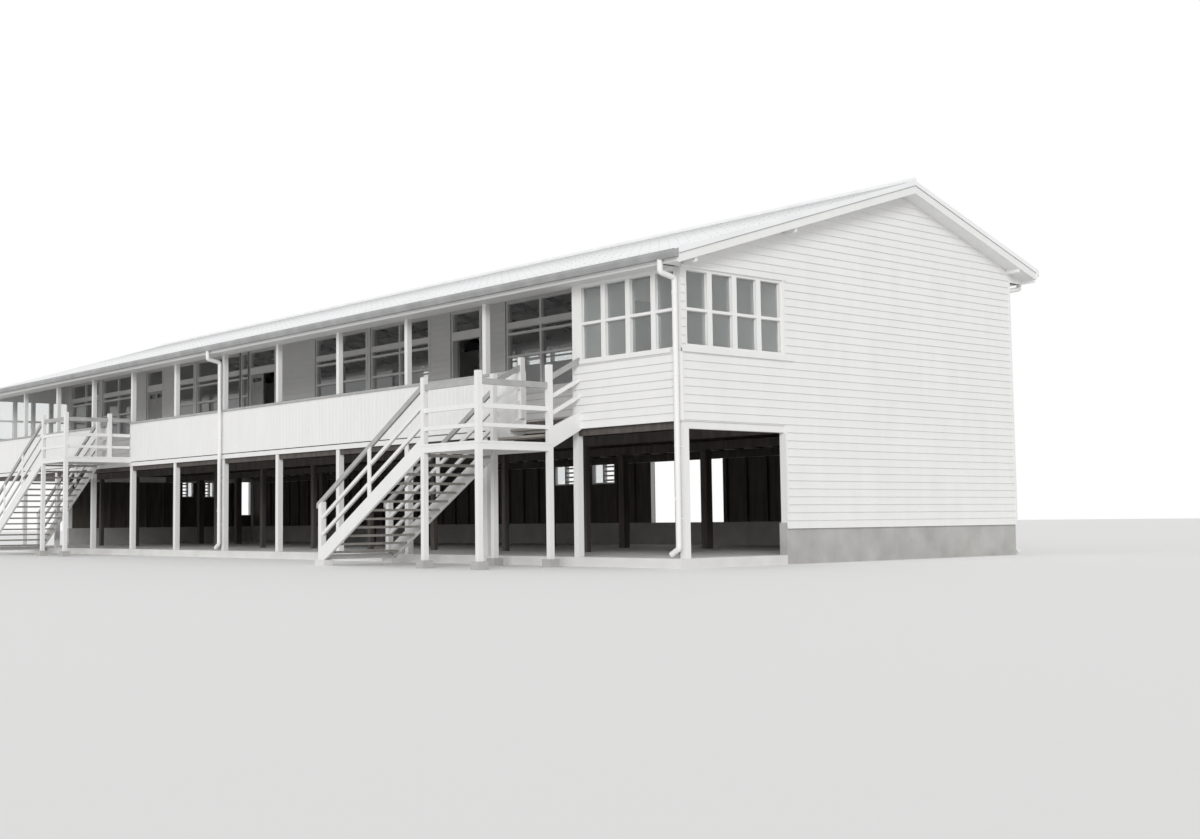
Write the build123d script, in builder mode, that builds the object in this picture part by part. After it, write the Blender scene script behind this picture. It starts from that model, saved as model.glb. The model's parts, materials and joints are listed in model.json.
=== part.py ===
from build123d import *
import os

# A high-set timber classroom block on a ground-level slab: verandah along the front, gables at both
# ends, two timber stairs. X runs along the block, Y from the verandah to the rear, Z up from the ground.

# overall grid
bay = 2438.4
bay_count = 12
post_low = 115.0
post_up = 100.0
block_depth = 8940.0
verandah_depth = 2350.0
skin = 20.0
wall_thick = 120.0
ridge_d = 5630.0
eave_front = 330.0
eave_rear = 480.0
verge = 310.0
pitch = 0.3115

# levels above the ground
slab_top = 150.0
base_top = 670.0
bearer_top = 2300.0
bearer_deep = 175.0
cladding_foot = 2240.0
joist_deep = 130.0
floor_thick = 25.0
rail_high = 891.0
sill_high = 840.0
sill_thick = 60.0
beam_high = 2155.0
beam_deep = 175.0
front_head_high = 2675.0
rear_head_down = 161.45
rear_window_high = 500.0
door_high = 2120.0

# timber and sheet sizes
sheet_thick = 20.0
batten_deep = 38.0
rafter_deep = 110.0
board = 25.0
lining = 8.0
mullion = 105.0
bar = 45.0
glass_thick = 6.0
gutter_wide = 115.0
gutter_high = 112.0
sheet_over = 40.0
notch = 24.0
cap_drop = 90.0
barge_drop = 229.0
roll_rise = 54.0
sill_out = 45.0
cap_over = 25.0
gutter_skin = 3.0
pipe_dia = 90.0
stair_post = 90.0
riser = 153.4375
going = 257.0
landing_risers = 13
total_risers = 16
stair_plank = 50.0
stringer_deep = 252.0
tread_thick = 38.0

# plan position of the two stairs, measured from the near gable and from the verandah front
landing_near = 2362.0
landing_far = 3810.0
landing_back = 653.0
landing_front = 2087.0
platform_near = 19570.0
platform_far = 21000.0
platform_back = 250.0
platform_front = 1675.0
platform_mid = 560.0
footing = 200.0
footing_high = 130.0

half_len = (bay_count * bay + post_low) / 2
stair_reach = landing_front + footing / 2
rear_reach = block_depth + eave_rear + gutter_wide
front_y = -(rear_reach - stair_reach) / 2
inner_x = half_len - wall_thick
floor_top = bearer_top + joist_deep + floor_thick
rail_top = floor_top + rail_high
sill_low = floor_top + sill_high
sill_top = sill_low + sill_thick
bearer_foot = bearer_top - bearer_deep
slope_up = (1 + pitch * pitch) ** 0.5

# the roof rises from the verandah beam: rafters, battens, then sheets
beam_foot = floor_top + beam_high
beam_top = beam_foot + beam_deep
strip_head = beam_foot - 5
rafter_foot = beam_top - notch + pitch * (ridge_d - skin)
rafter_top = rafter_foot + rafter_deep
wall_apex = rafter_top
sheet_foot = rafter_top + batten_deep
sheet_apex = sheet_foot + sheet_thick
cap_apex = sheet_apex - cap_drop
barge_apex = sheet_apex - barge_drop
ridge_top = sheet_apex + roll_rise


def fy(d):
    return front_y + d


def grid_x(n):
    return half_len - post_low / 2 - n * bay


def near_x(u):
    return half_len - u


def slope_z(apex, d):
    return apex - pitch * abs(ridge_d - d)


def block(x0, x1, d0, d1, z0, z1, mode=Mode.ADD):
    with Locations(((x0 + x1) / 2, fy((d0 + d1) / 2), (z0 + z1) / 2)):
        Box(abs(x1 - x0), abs(d1 - d0), z1 - z0, mode=mode)


def blocks(centres, wide, deep, high, mode=Mode.ADD):
    with Locations(*[(x, fy(d), z) for x, d, z in centres]):
        Box(wide, deep, high, mode=mode)


def panels(spans, d0, d1, mode=Mode.ADD):
    # upright boxes given as (x0, x1, z0, z1), equal sizes made together
    sizes = {}
    for x0, x1, z0, z1 in spans:
        size = (round(x1 - x0, 3), round(z1 - z0, 3))
        sizes.setdefault(size, []).append(((x0 + x1) / 2, (d0 + d1) / 2, (z0 + z1) / 2))
    for (wide, high), centres in sizes.items():
        blocks(centres, wide, d1 - d0, high, mode)


def section(x0, x1, outline, mode=Mode.ADD):
    with BuildSketch(Plane.YZ.offset(x0)) as shape:
        with BuildLine():
            Polyline(*[(fy(d), z) for d, z in outline], close=True)
        make_face()
    extrude(shape.sketch, amount=x1 - x0, mode=mode)


def profile(d0, d1, outline, mode=Mode.ADD):
    # an outline in X and Z, run from d0 back to d1
    with BuildSketch(Plane.XZ.offset(-fy(d1))) as shape:
        with BuildLine():
            Polyline(*outline, close=True)
        make_face()
    extrude(shape.sketch, amount=d1 - d0, mode=mode)


def finish(part, name):
    part.label = name
    export_step(part, f"parts/{name}.step")


os.makedirs("parts", exist_ok=True)

plate_notch = 14.0
plate_top = slope_z(rafter_foot, verandah_depth) + plate_notch
rear_plate_top = slope_z(rafter_foot, block_depth) + plate_notch
slab_over = 75.0
base_set = 12.0
base_thick = 150.0
joist_wide = 45.0
joist_step = bay / 4
front_face = skin
bearer_wide = 75.0
mid_line = (verandah_depth + block_depth) / 2

# ground slab and concrete base walls
with BuildPart() as undercroft_slab:
    block(-half_len, half_len, -slab_over, verandah_depth, 0, slab_top)
    block(-half_len + base_set + base_thick, half_len - base_set - base_thick,
          verandah_depth, block_depth - base_set - base_thick, 0, slab_top)
finish(undercroft_slab.part, "undercroft_slab")

with BuildPart() as base_wall:
    block(-half_len + base_set, half_len - base_set, verandah_depth, block_depth - base_set, 0, base_top)
    block(-half_len + base_set + base_thick, half_len - base_set - base_thick,
          verandah_depth, block_depth - base_set - base_thick, 0, base_top, Mode.SUBTRACT)
finish(base_wall.part, "base_wall")

# lower posts: the front row has a tongue that runs up in front of the bearer
lower_mid = (slab_top + bearer_foot) / 2
with BuildPart() as front_posts_lower:
    blocks([(grid_x(n), front_face + post_low / 2, lower_mid) for n in range(bay_count + 1)],
           post_low, post_low, bearer_foot - slab_top)
    blocks([(grid_x(n), front_face + board / 2, (bearer_foot + bearer_top) / 2) for n in range(1, bay_count)],
           post_low, board, bearer_top - bearer_foot)
finish(front_posts_lower.part, "front_posts_lower")

with BuildPart() as inner_posts:
    for line in (verandah_depth + wall_thick / 2, mid_line):
        blocks([(grid_x(n), line, lower_mid) for n in range(1, bay_count)],
               post_low, post_low, bearer_foot - slab_top)
finish(inner_posts.part, "inner_posts")

rear_inner = block_depth - wall_thick
with BuildPart() as floor_bearers:
    block(-inner_x, inner_x, front_face + board, front_face + board + bearer_wide, bearer_foot, bearer_top)
    for line in (verandah_depth + wall_thick / 2, mid_line):
        block(-inner_x, inner_x, line - bearer_wide / 2, line + bearer_wide / 2, bearer_foot, bearer_top)
    block(-inner_x, inner_x, rear_inner - bearer_wide, rear_inner, bearer_foot, bearer_top)
finish(floor_bearers.part, "floor_bearers")

with BuildPart() as end_bearers:
    for side in (1, -1):
        block(side * inner_x, side * (half_len - skin), front_face, verandah_depth,
              bearer_foot, cladding_foot)
finish(end_bearers.part, "end_bearers")

with BuildPart() as floor_joists:
    block(-inner_x, inner_x, front_face, front_face + board, bearer_top, bearer_top + joist_deep)
    joist_count = int((2 * inner_x - joist_wide) / joist_step) + 1
    step = (2 * inner_x - joist_wide) / joist_count
    joist_mid = (front_face + board + rear_inner) / 2
    blocks([(-inner_x + joist_wide / 2 + i * step, joist_mid, bearer_top + joist_deep / 2)
            for i in range(joist_count + 1)], joist_wide, rear_inner - front_face - board, joist_deep)
finish(floor_joists.part, "floor_joists")

with BuildPart() as verandah_floor:
    block(-inner_x, inner_x, front_face, verandah_depth, floor_top - floor_thick, floor_top)
finish(verandah_floor.part, "verandah_floor")

with BuildPart() as classroom_floor:
    block(-inner_x, inner_x, verandah_depth + wall_thick, rear_inner, floor_top - floor_thick, floor_top)
finish(classroom_floor.part, "classroom_floor")

# gable walls: the verandah end stays above the open undercroft, the classroom end runs down to the base
strip_d0 = wall_thick + 5
strip_d1 = verandah_depth - 15
gable_outline = [(0, cladding_foot), (verandah_depth, cladding_foot), (verandah_depth, base_top),
                 (block_depth, base_top), (block_depth, slope_z(wall_apex, block_depth)),
                 (ridge_d, wall_apex), (0, slope_z(wall_apex, 0))]
low_sill = 1640.0
low_head = 2160.0
side_spans = [(6172.0, 6603.0), (6992.0, 7358.0)]
side_tall = (8373.0, 8705.0)
side_tall_foot = 1050.0
for side, name in ((1, "gable_wall_near"), (-1, "gable_wall_far")):
    x0 = inner_x if side > 0 else -half_len
    with BuildPart() as gable_wall:
        section(x0, x0 + wall_thick, gable_outline)
        block(x0, x0 + wall_thick, strip_d0, strip_d1, sill_low, strip_head, Mode.SUBTRACT)
        if side < 0:
            for d0, d1 in side_spans:
                block(x0, x0 + wall_thick, d0, d1, low_sill, low_head, Mode.SUBTRACT)
            block(x0, x0 + wall_thick, side_tall[0], side_tall[1], side_tall_foot, low_head, Mode.SUBTRACT)
    finish(gable_wall.part, name)

# classroom front wall: window banks per bay, two doorways
high_sill = sill_low
high_head = floor_top + front_head_high
door_head = floor_top + door_high
window_spans = [(1.06, 1.94), (2.06, 2.94), (4.02, 4.95), (5.02, 5.93), (7.45, 8.43), (8.50, 8.95),
                (10.06, 10.94), (11.06, 11.90)]
door_spans = [(3.28, 3.70), (6.71, 7.25), (9.28, 9.70)]
side_light = (7.27, 7.43)


def span_x(span):
    return grid_x(span[1]), grid_x(span[0])


front_d0 = verandah_depth
front_d1 = verandah_depth + wall_thick
plate_foot = bearer_top + joist_deep
with BuildPart() as classroom_front_wall:
    block(-inner_x, inner_x, front_d0, front_d1, plate_foot, plate_top)
    panels([(*span_x(span), plate_foot, plate_top) for span in door_spans]
           + [(*span_x(span), high_sill, high_head) for span in window_spans + [side_light]],
           front_d0, front_d1, Mode.SUBTRACT)
finish(classroom_front_wall.part, "classroom_front_wall")

# the wall over each doorway, and the sill under it
with BuildPart() as front_wall_heads:
    panels([(*span_x(span), high_head, plate_top) for span in door_spans]
           + [(*span_x(span), plate_foot, floor_top) for span in door_spans], front_d0, front_d1)
finish(front_wall_heads.part, "front_wall_heads")

# rear wall: high window banks to the rooms, two small windows and a wide opening in the undercroft
rear_head = rear_plate_top - rear_head_down
rear_sill = rear_head - rear_window_high
rear_spans = [(n + 0.06, n + 0.94) for n in range(6)] + [(6.06, 6.50), (7.05, 7.94)]
low_spans = [(4.52, 4.87), (5.10, 5.48)]
tall_spans = [(3.03, 4.0)]
tall_foot = base_top
tall_head = 2200.0

with BuildPart() as rear_wall:
    block(-inner_x, inner_x, rear_inner, block_depth, base_top, rear_plate_top)
    panels([(*span_x(span), rear_sill, rear_head) for span in rear_spans]
           + [(*span_x(span), low_sill, low_head) for span in low_spans]
           + [(*span_x(span), tall_foot, tall_head) for span in tall_spans],
           rear_inner, block_depth, Mode.SUBTRACT)
finish(rear_wall.part, "rear_wall")

# enclosed room in the first verandah bay
corner_lap = 10.0
corner_x = grid_x(1) - corner_lap
half_post = stair_post / 2
room_x = grid_x(1) + post_up / 2
with BuildPart() as room_front_wall:
    block(corner_x, inner_x, 0, skin, cladding_foot, sill_low)
    block(room_x, inner_x, skin, wall_thick, floor_top, sill_low)
finish(room_front_wall.part, "room_front_wall")

room_door = (1150.0, 1970.0)
room_door_high = 2040.0
ceiling_foot = rafter_foot - lining * slope_up
with BuildPart() as room_partition:
    section(corner_x, room_x, [(wall_thick, floor_top), (verandah_depth, floor_top),
                               (verandah_depth, slope_z(ceiling_foot, verandah_depth)),
                               (wall_thick, slope_z(ceiling_foot, wall_thick))])
    block(corner_x, room_x, room_door[0], room_door[1], floor_top, floor_top + room_door_high, Mode.SUBTRACT)
finish(room_partition.part, "room_partition")

# verandah posts and beam
with BuildPart() as verandah_posts:
    blocks([(grid_x(n), skin + post_up / 2, (floor_top + beam_foot) / 2) for n in range(1, bay_count)],
           post_up, post_up, beam_foot - floor_top)
finish(verandah_posts.part, "verandah_posts")

with BuildPart() as verandah_beam:
    block(-inner_x, inner_x, skin, skin + post_up, beam_foot, beam_top)
finish(verandah_beam.part, "verandah_beam")


# windows: frames cut from plates that fill the openings, with glass in the middle of the frame
def strip_panes(a0, wide, count, limit):
    panes = []
    for i in range(count):
        left = a0 + i * (wide + mullion)
        right = min(left + wide, limit)
        panes.append((left, right, sill_top + 25, transom_z - bar / 2))
        panes.append((left, right, transom_z + bar / 2, strip_head - bar))
    return panes


transom_z = sill_low + 668
edge_bar = 10.0
gable_wide = (strip_d1 - strip_d0 - bar - edge_bar - 3 * mullion) / 4
gable_panes = strip_panes(strip_d0 + edge_bar, gable_wide, 4, strip_d1)
room_pane = 474.0
room_edge = 220.9
room_stop = 25.0
room_panes = strip_panes(corner_x + room_edge, room_pane, 4, inner_x - room_stop)
glass_gap = (wall_thick - glass_thick) / 2

with BuildPart() as verandah_window_frames:
    for side in (1, -1):
        block(side * inner_x, side * half_len, strip_d0, strip_d1, sill_top, strip_head)
        for d0, d1, z0, z1 in gable_panes:
            block(side * inner_x, side * half_len, d0, d1, z0, z1, Mode.SUBTRACT)
    block(corner_x, inner_x, 0, skin, sill_top, beam_foot)
    block(room_x, inner_x, skin, wall_thick, sill_top, beam_foot)
    panels(room_panes, 0, wall_thick, Mode.SUBTRACT)
finish(verandah_window_frames.part, "verandah_window_frames")

with BuildPart() as window_sills:
    block(near_x(landing_near) + half_post, near_x(190), -sill_out, 0, sill_low, sill_top)
    block(corner_x, inner_x, 0, skin, sill_low, sill_top)
    block(room_x, inner_x, skin, wall_thick, sill_low, sill_top)
    block(half_len, half_len + sill_out, 0, strip_d1 + 200, sill_low, sill_top)
    block(inner_x, half_len, strip_d0, strip_d1, sill_low, sill_top)
    block(-half_len - sill_out, -half_len, 0, strip_d1 + 200, sill_low, sill_top)
    block(-half_len, -inner_x, strip_d0, strip_d1, sill_low, sill_top)
finish(window_sills.part, "window_sills")

# classroom windows: fanlight over a deep transom, small light, main light, lower light
front_rows = [(floor_top + a, floor_top + b) for a, b in
              ((sill_high + 60, 1530), (1575, 1990), (2032, 2117), (2245, front_head_high - 50))]
rear_rows = [(rear_sill + 50, rear_sill + 190), (rear_sill + 220, rear_head - 45)]
low_edge = 35.0
low_rows = [(low_sill + low_edge, low_head - low_edge)]
stile = 55.0


def bank_panes(span, rows, units=2, edge=stile):
    x0, x1 = span_x(span)
    wide = (x1 - x0 - (units + 1) * edge) / units
    panes = []
    for i in range(units):
        left = x0 + edge + i * (wide + edge)
        for z0, z1 in rows:
            panes.append((left, left + wide, z0, z1))
    return panes


front_panes = []
for span in window_spans:
    units = 1 if span[1] - span[0] < 0.6 else 2
    front_panes += bank_panes(span, front_rows, units)
front_panes += bank_panes(side_light, front_rows, 1)
door_panes = []
for span in door_spans:
    door_panes += bank_panes(span, front_rows[3:], 1)

with BuildPart() as front_window_frames:
    panels([(*span_x(span), high_sill, high_head) for span in window_spans + [side_light]],
           front_d0, front_d1)
    panels(front_panes, front_d0, front_d1, Mode.SUBTRACT)
finish(front_window_frames.part, "front_window_frames")

with BuildPart() as door_frames:
    panels([(*span_x(span), floor_top, high_head) for span in door_spans], front_d0, front_d1)
    panels([(span_x(span)[0] + stile, span_x(span)[1] - stile, floor_top, door_head - stile)
            for span in door_spans] + door_panes, front_d0, front_d1, Mode.SUBTRACT)
finish(door_frames.part, "door_frames")

rear_panes = []
for span in rear_spans:
    rear_panes += bank_panes(span, rear_rows, 1 if span[1] - span[0] < 0.6 else 2)
with BuildPart() as rear_window_frames:
    panels([(*span_x(span), rear_sill, rear_head) for span in rear_spans], rear_inner, block_depth)
    panels(rear_panes, rear_inner, block_depth, Mode.SUBTRACT)
finish(rear_window_frames.part, "rear_window_frames")

# undercroft windows: each has a plain pane at its far side and louvre blades at its near side
low_panes = []
for span in low_spans:
    low_panes += bank_panes(span, low_rows, 2, low_edge)
side_panes = []
for d0, d1 in side_spans:
    mid = (d0 + d1) / 2
    side_panes += [(d0 + low_edge, mid - low_edge / 2), (mid + low_edge / 2, d1 - low_edge)]
side_x0 = -half_len
side_x1 = -inner_x
with BuildPart() as low_window_frames:
    panels([(*span_x(span), low_sill, low_head) for span in low_spans], rear_inner, block_depth)
    panels(low_panes, rear_inner, block_depth, Mode.SUBTRACT)
    for d0, d1 in side_spans:
        block(side_x0, side_x1, d0, d1, low_sill, low_head)
    for d0, d1 in side_panes:
        block(side_x0, side_x1, d0, d1, low_rows[0][0], low_rows[0][1], Mode.SUBTRACT)
finish(low_window_frames.part, "low_window_frames")

plain_low = low_panes[0::2]
louvre_low = low_panes[1::2]
with BuildPart() as window_glass:
    panels(front_panes + door_panes, front_d0 + glass_gap, front_d1 - glass_gap)
    panels(room_panes, glass_gap, wall_thick - glass_gap)
    for side in (1, -1):
        for d0, d1, z0, z1 in gable_panes:
            block(side * (inner_x + glass_gap), side * (half_len - glass_gap), d0, d1, z0, z1)
    panels(rear_panes + plain_low, rear_inner + glass_gap, block_depth - glass_gap)
    for d0, d1 in side_panes[1::2]:
        block(side_x0 + glass_gap, side_x1 - glass_gap, d0, d1, low_rows[0][0], low_rows[0][1])
finish(window_glass.part, "window_glass")

blade_count = 4
blade_high = 40.0
blade_set = 25.0
blade_foot, blade_head = low_rows[0]
blade_mids = [blade_foot + (blade_head - blade_foot) * (i + 0.5) / blade_count for i in range(blade_count)]
with BuildPart() as undercroft_louvres:
    panels([(x0, x1, mid - blade_high / 2, mid + blade_high / 2) for x0, x1, z0, z1 in louvre_low
            for mid in blade_mids], rear_inner + blade_set, block_depth - blade_set)
    for d0, d1 in side_panes[0::2]:
        for mid in blade_mids:
            block(side_x0 + blade_set, side_x1 - blade_set, d0, d1,
                  mid - blade_high / 2, mid + blade_high / 2)
finish(undercroft_louvres.part, "undercroft_louvres")

# doors: pairs of leaves in the classroom wall, three of them swung in, and one leaf to the enclosed room
leaf_thick = 42.0
leaf_gap = 4.0
leaf_set = 40.0
leaf_edge = 90.0
leaf_head = door_head - stile
light_top = leaf_head - leaf_edge
light_high = 105.0
light_foot = light_top - light_high
far_turn = 130.0
near_turn = 90.0
leaves = []
swung = []
for i, span in enumerate(door_spans):
    x0, x1 = span_x(span)
    mid = (x0 + x1) / 2
    wide = mid - leaf_gap / 2 - x0 - stile
    if i == 0:
        swung.append((x0 + stile, wide, far_turn))
    else:
        leaves.append((x0 + stile, mid - leaf_gap / 2))
    if i < 2:
        swung.append((x1 - stile, wide, near_turn))
    else:
        leaves.append((mid + leaf_gap / 2, x1 - stile))
leaf_d = front_d0 + leaf_set


def swung_box(x, turn, a0, a1, t0, t1, z0, z1, mode=Mode.ADD):
    # a box in a leaf hinged at x on the room side of the wall: a along the leaf, t through its thickness
    with Locations(Location((x, fy(front_d1), 0), (0, 0, turn))):
        with Locations(((a0 + a1) / 2, -(t0 + t1) / 2, (z0 + z1) / 2)):
            Box(a1 - a0, t1 - t0, z1 - z0, mode=mode)


with BuildPart() as door_leaves:
    for x0, x1 in leaves:
        block(x0, x1, leaf_d, leaf_d + leaf_thick, floor_top, leaf_head)
        block(x0 + leaf_edge, x1 - leaf_edge, leaf_d, leaf_d + leaf_thick, light_foot, light_top,
              Mode.SUBTRACT)
    for x, wide, turn in swung:
        first = 0 if turn > 90 else -leaf_thick
        swung_box(x, turn, 0, wide, first, first + leaf_thick, floor_top, leaf_head)
        swung_box(x, turn, leaf_edge, wide - leaf_edge, first, first + leaf_thick, light_foot, light_top,
                  Mode.SUBTRACT)
    block(room_x - leaf_thick, room_x, room_door[0], room_door[1], floor_top, floor_top + room_door_high)
finish(door_leaves.part, "door_leaves")

pane_set = (leaf_thick - glass_thick) / 2
with BuildPart() as door_glass:
    for x0, x1 in leaves:
        block(x0 + leaf_edge, x1 - leaf_edge, leaf_d + pane_set, leaf_d + pane_set + glass_thick,
              light_foot, light_top)
    for x, wide, turn in swung:
        first = pane_set if turn > 90 else pane_set - leaf_thick
        swung_box(x, turn, leaf_edge, wide - leaf_edge, first, first + glass_thick, light_foot, light_top)
finish(door_glass.part, "door_glass")

# verandah balustrade of upright boards with a cap rail, open at the head of each stair
runs = [(-inner_x, near_x(platform_far) + stair_post / 2),
        (near_x(platform_near) - stair_post / 2, near_x(landing_far) + stair_post / 2)]
board_lift = 45.0
board_foot = bearer_top + board_lift
cap_thick = 45.0
with BuildPart() as balustrade_boards:
    for x0, x1 in runs:
        block(x0, x1, 0, skin, board_foot, rail_top - cap_thick)
finish(balustrade_boards.part, "balustrade_boards")

with BuildPart() as balustrade_cap:
    for x0, x1 in runs:
        block(x0, x1, -cap_over, skin, rail_top - cap_thick, rail_top)
    newel_x = near_x(landing_far)
    block(newel_x - stair_post / 2, newel_x + stair_post / 2, -stair_post, 0,
          rail_top - cap_thick, rail_top, Mode.SUBTRACT)
finish(balustrade_cap.part, "balustrade_cap")

edge_drop = 70.0
joint = 20.0
with BuildPart() as floor_edge_board:
    block(-inner_x, corner_x, 0, skin, bearer_top - edge_drop, board_foot - joint)
finish(floor_edge_board.part, "floor_edge_board")

# roof framing: rafters notched over the beam and the wall plates, battens that run out to the verges
ridge_half = 19.0
ridge_drop = 30.0
rafter_wide = 45.0
rafter_step = bay / 2
fascia_front = -eave_front
fascia_rear = block_depth + eave_rear
rafter_mids = [grid_x(0) - (i + 0.25) * rafter_step for i in range(2 * bay_count)]
with BuildPart() as rafters:
    for d_end, d_ridge in ((fascia_front + board, ridge_d - ridge_half),
                           (fascia_rear - board, ridge_d + ridge_half)):
        with BuildSketch(*[Plane.YZ.offset(x - rafter_wide / 2) for x in rafter_mids]):
            with BuildLine():
                Polyline((fy(d_end), slope_z(rafter_foot, d_end)),
                         (fy(d_ridge), slope_z(rafter_foot, d_ridge)),
                         (fy(d_ridge), slope_z(rafter_top, d_ridge)),
                         (fy(d_end), slope_z(rafter_top, d_end)), close=True)
            make_face()
        extrude(amount=rafter_wide)
    block(-inner_x, inner_x, skin, skin + post_up, beam_foot, beam_top, Mode.SUBTRACT)
    block(-inner_x, inner_x, front_d0, front_d1, floor_top, plate_top, Mode.SUBTRACT)
    block(-inner_x, inner_x, rear_inner, block_depth, floor_top, rear_plate_top, Mode.SUBTRACT)
finish(rafters.part, "rafters")

with BuildPart() as ridge_board:
    block(-inner_x, inner_x, ridge_d - ridge_half, ridge_d + ridge_half,
          slope_z(rafter_foot, ridge_d - ridge_half) - ridge_drop, slope_z(rafter_top, ridge_d - ridge_half))
finish(ridge_board.part, "ridge_board")

verge_x = half_len + verge
batten_x = verge_x - board
batten_wide = 75.0
batten_lines = [-150, 750, 1650, 2550, 3450, 4350, 5400, 5860, 6700, 7550, 8400, 9200]
with BuildPart() as roof_battens:
    for d in batten_lines:
        d0 = d - batten_wide / 2
        d1 = d + batten_wide / 2
        section(-batten_x, batten_x, [(d0, slope_z(rafter_top, d0)), (d1, slope_z(rafter_top, d1)),
                                      (d1, slope_z(sheet_foot, d1)), (d0, slope_z(sheet_foot, d0))])
finish(roof_battens.part, "roof_battens")


def sheet_outline(d_end):
    return [(d_end, slope_z(sheet_apex - sheet_thick, d_end)), (ridge_d, sheet_apex - sheet_thick),
            (ridge_d, sheet_apex), (d_end, slope_z(sheet_apex, d_end))]


with BuildPart() as roof_front:
    section(-verge_x, verge_x, sheet_outline(fascia_front - sheet_over))
finish(roof_front.part, "roof_front")

with BuildPart() as roof_rear:
    section(-verge_x, verge_x, sheet_outline(fascia_rear + sheet_over))
finish(roof_rear.part, "roof_rear")

# ridge capping: a rolled top with two wings that lie on the sheets
cap_wing = 190.0
cap_skin = 6.0
roll_radius = 34.0
wing_front = ridge_d - cap_wing
wing_rear = ridge_d + cap_wing
wing_foot = slope_z(sheet_apex, wing_front)
with BuildPart() as ridge_cap:
    section(-verge_x, verge_x, [(wing_front, wing_foot), (ridge_d, sheet_apex), (wing_rear, wing_foot),
                                (wing_rear, wing_foot + cap_skin), (ridge_d, sheet_apex + cap_skin),
                                (wing_front, wing_foot + cap_skin)])
    with BuildSketch(Plane.YZ.offset(-verge_x)):
        with Locations((fy(ridge_d), ridge_top - roll_radius)):
            Circle(roll_radius)
    extrude(amount=2 * verge_x)
    section(-verge_x, verge_x, [(wing_front, wing_foot), (ridge_d, sheet_apex), (wing_rear, wing_foot),
                                (wing_rear, wing_foot - cap_wing), (wing_front, wing_foot - cap_wing)],
            Mode.SUBTRACT)
finish(ridge_cap.part, "ridge_cap")

# verge: barge boards with metal capping, raked soffit behind them
with BuildPart() as barge_boards:
    for x0 in (batten_x, -verge_x):
        section(x0, x0 + board, [(fascia_front, slope_z(barge_apex, fascia_front)), (ridge_d, barge_apex),
                                 (fascia_rear, slope_z(barge_apex, fascia_rear)),
                                 (fascia_rear, slope_z(sheet_foot, fascia_rear)), (ridge_d, sheet_foot),
                                 (fascia_front, slope_z(sheet_foot, fascia_front))])
finish(barge_boards.part, "barge_boards")

cap_out = 5.0
with BuildPart() as barge_caps:
    for x0 in (verge_x, -verge_x - cap_out):
        section(x0, x0 + cap_out, [(fascia_front, slope_z(cap_apex, fascia_front)), (ridge_d, cap_apex),
                                   (fascia_rear, slope_z(cap_apex, fascia_rear)),
                                   (fascia_rear, slope_z(sheet_apex, fascia_rear)), (ridge_d, sheet_apex),
                                   (fascia_front, slope_z(sheet_apex, fascia_front))])
finish(barge_caps.part, "barge_caps")

soffit_d0 = fascia_front + board
soffit_d1 = fascia_rear - board
with BuildPart() as verge_soffits:
    for x0, x1 in ((half_len, batten_x), (-batten_x, -half_len)):
        section(x0, x1, [(soffit_d0, slope_z(barge_apex, soffit_d0)), (ridge_d, barge_apex),
                         (soffit_d1, slope_z(barge_apex, soffit_d1)),
                         (soffit_d1, slope_z(barge_apex + lining, soffit_d1)), (ridge_d, barge_apex + lining),
                         (soffit_d0, slope_z(barge_apex + lining, soffit_d0))])
finish(verge_soffits.part, "verge_soffits")

outrigger_high = 70.0
with BuildPart() as outrigger_ends:
    for d in (skin + 50, verandah_depth + 60, block_depth - 60):
        for x0, x1 in ((half_len, batten_x), (-batten_x, -half_len)):
            section(x0, x1, [(d - 25, slope_z(barge_apex, d - 25) - outrigger_high),
                             (d + 25, slope_z(barge_apex, d + 25) - outrigger_high),
                             (d + 25, slope_z(barge_apex, d + 25)), (d - 25, slope_z(barge_apex, d - 25))])
finish(outrigger_ends.part, "outrigger_ends")

# eaves: fascias, level soffits, gutters
soffit_front = beam_foot
fascia_foot_rear = slope_z(barge_apex, fascia_rear) - 50
with BuildPart() as eave_fascias:
    block(-batten_x, batten_x, fascia_front, fascia_front + board, soffit_front,
          slope_z(rafter_top, fascia_front + board) - 6)
    block(-batten_x, batten_x, fascia_rear - board, fascia_rear, fascia_foot_rear,
          slope_z(rafter_top, fascia_rear - board) - 6)
finish(eave_fascias.part, "eave_fascias")

with BuildPart() as eave_soffits:
    block(-inner_x, inner_x, fascia_front + board, skin, soffit_front, soffit_front + lining)
    block(-inner_x, inner_x, block_depth, fascia_rear - board, fascia_foot_rear, fascia_foot_rear + lining)
finish(eave_soffits.part, "eave_soffits")

# boards that close the ends of the two eaves in line with the gables
with BuildPart() as eave_ends:
    for x0 in (half_len - board, -half_len):
        section(x0, x0 + board, [(block_depth, fascia_foot_rear), (soffit_d1, fascia_foot_rear),
                                 (soffit_d1, slope_z(wall_apex, soffit_d1)),
                                 (block_depth, slope_z(wall_apex, block_depth))])
        section(x0, x0 + board, [(soffit_d0, soffit_front), (0, soffit_front), (0, slope_z(wall_apex, 0)),
                                 (soffit_d0, slope_z(wall_apex, soffit_d0))])
finish(eave_ends.part, "eave_ends")

gutter_top = slope_z(sheet_foot, fascia_front - sheet_over) - 2
rear_gutter_top = slope_z(sheet_foot, fascia_rear + sheet_over) - 2


def gutter_outline(d_back, sign, top):
    foot = top - gutter_high
    lip = d_back + sign * gutter_wide
    low = d_back + sign * (gutter_wide - 25)
    return [(d_back, top), (d_back, foot), (low, foot), (lip, top - 45), (lip, top),
            (lip - sign * gutter_skin, top), (lip - sign * gutter_skin, top - 44),
            (low - sign * gutter_skin, foot + gutter_skin), (d_back + sign * gutter_skin, foot + gutter_skin),
            (d_back + sign * gutter_skin, top)]


def gutter_end_outline(d_back, sign, top):
    return gutter_outline(d_back, sign, top)[:5]


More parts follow.
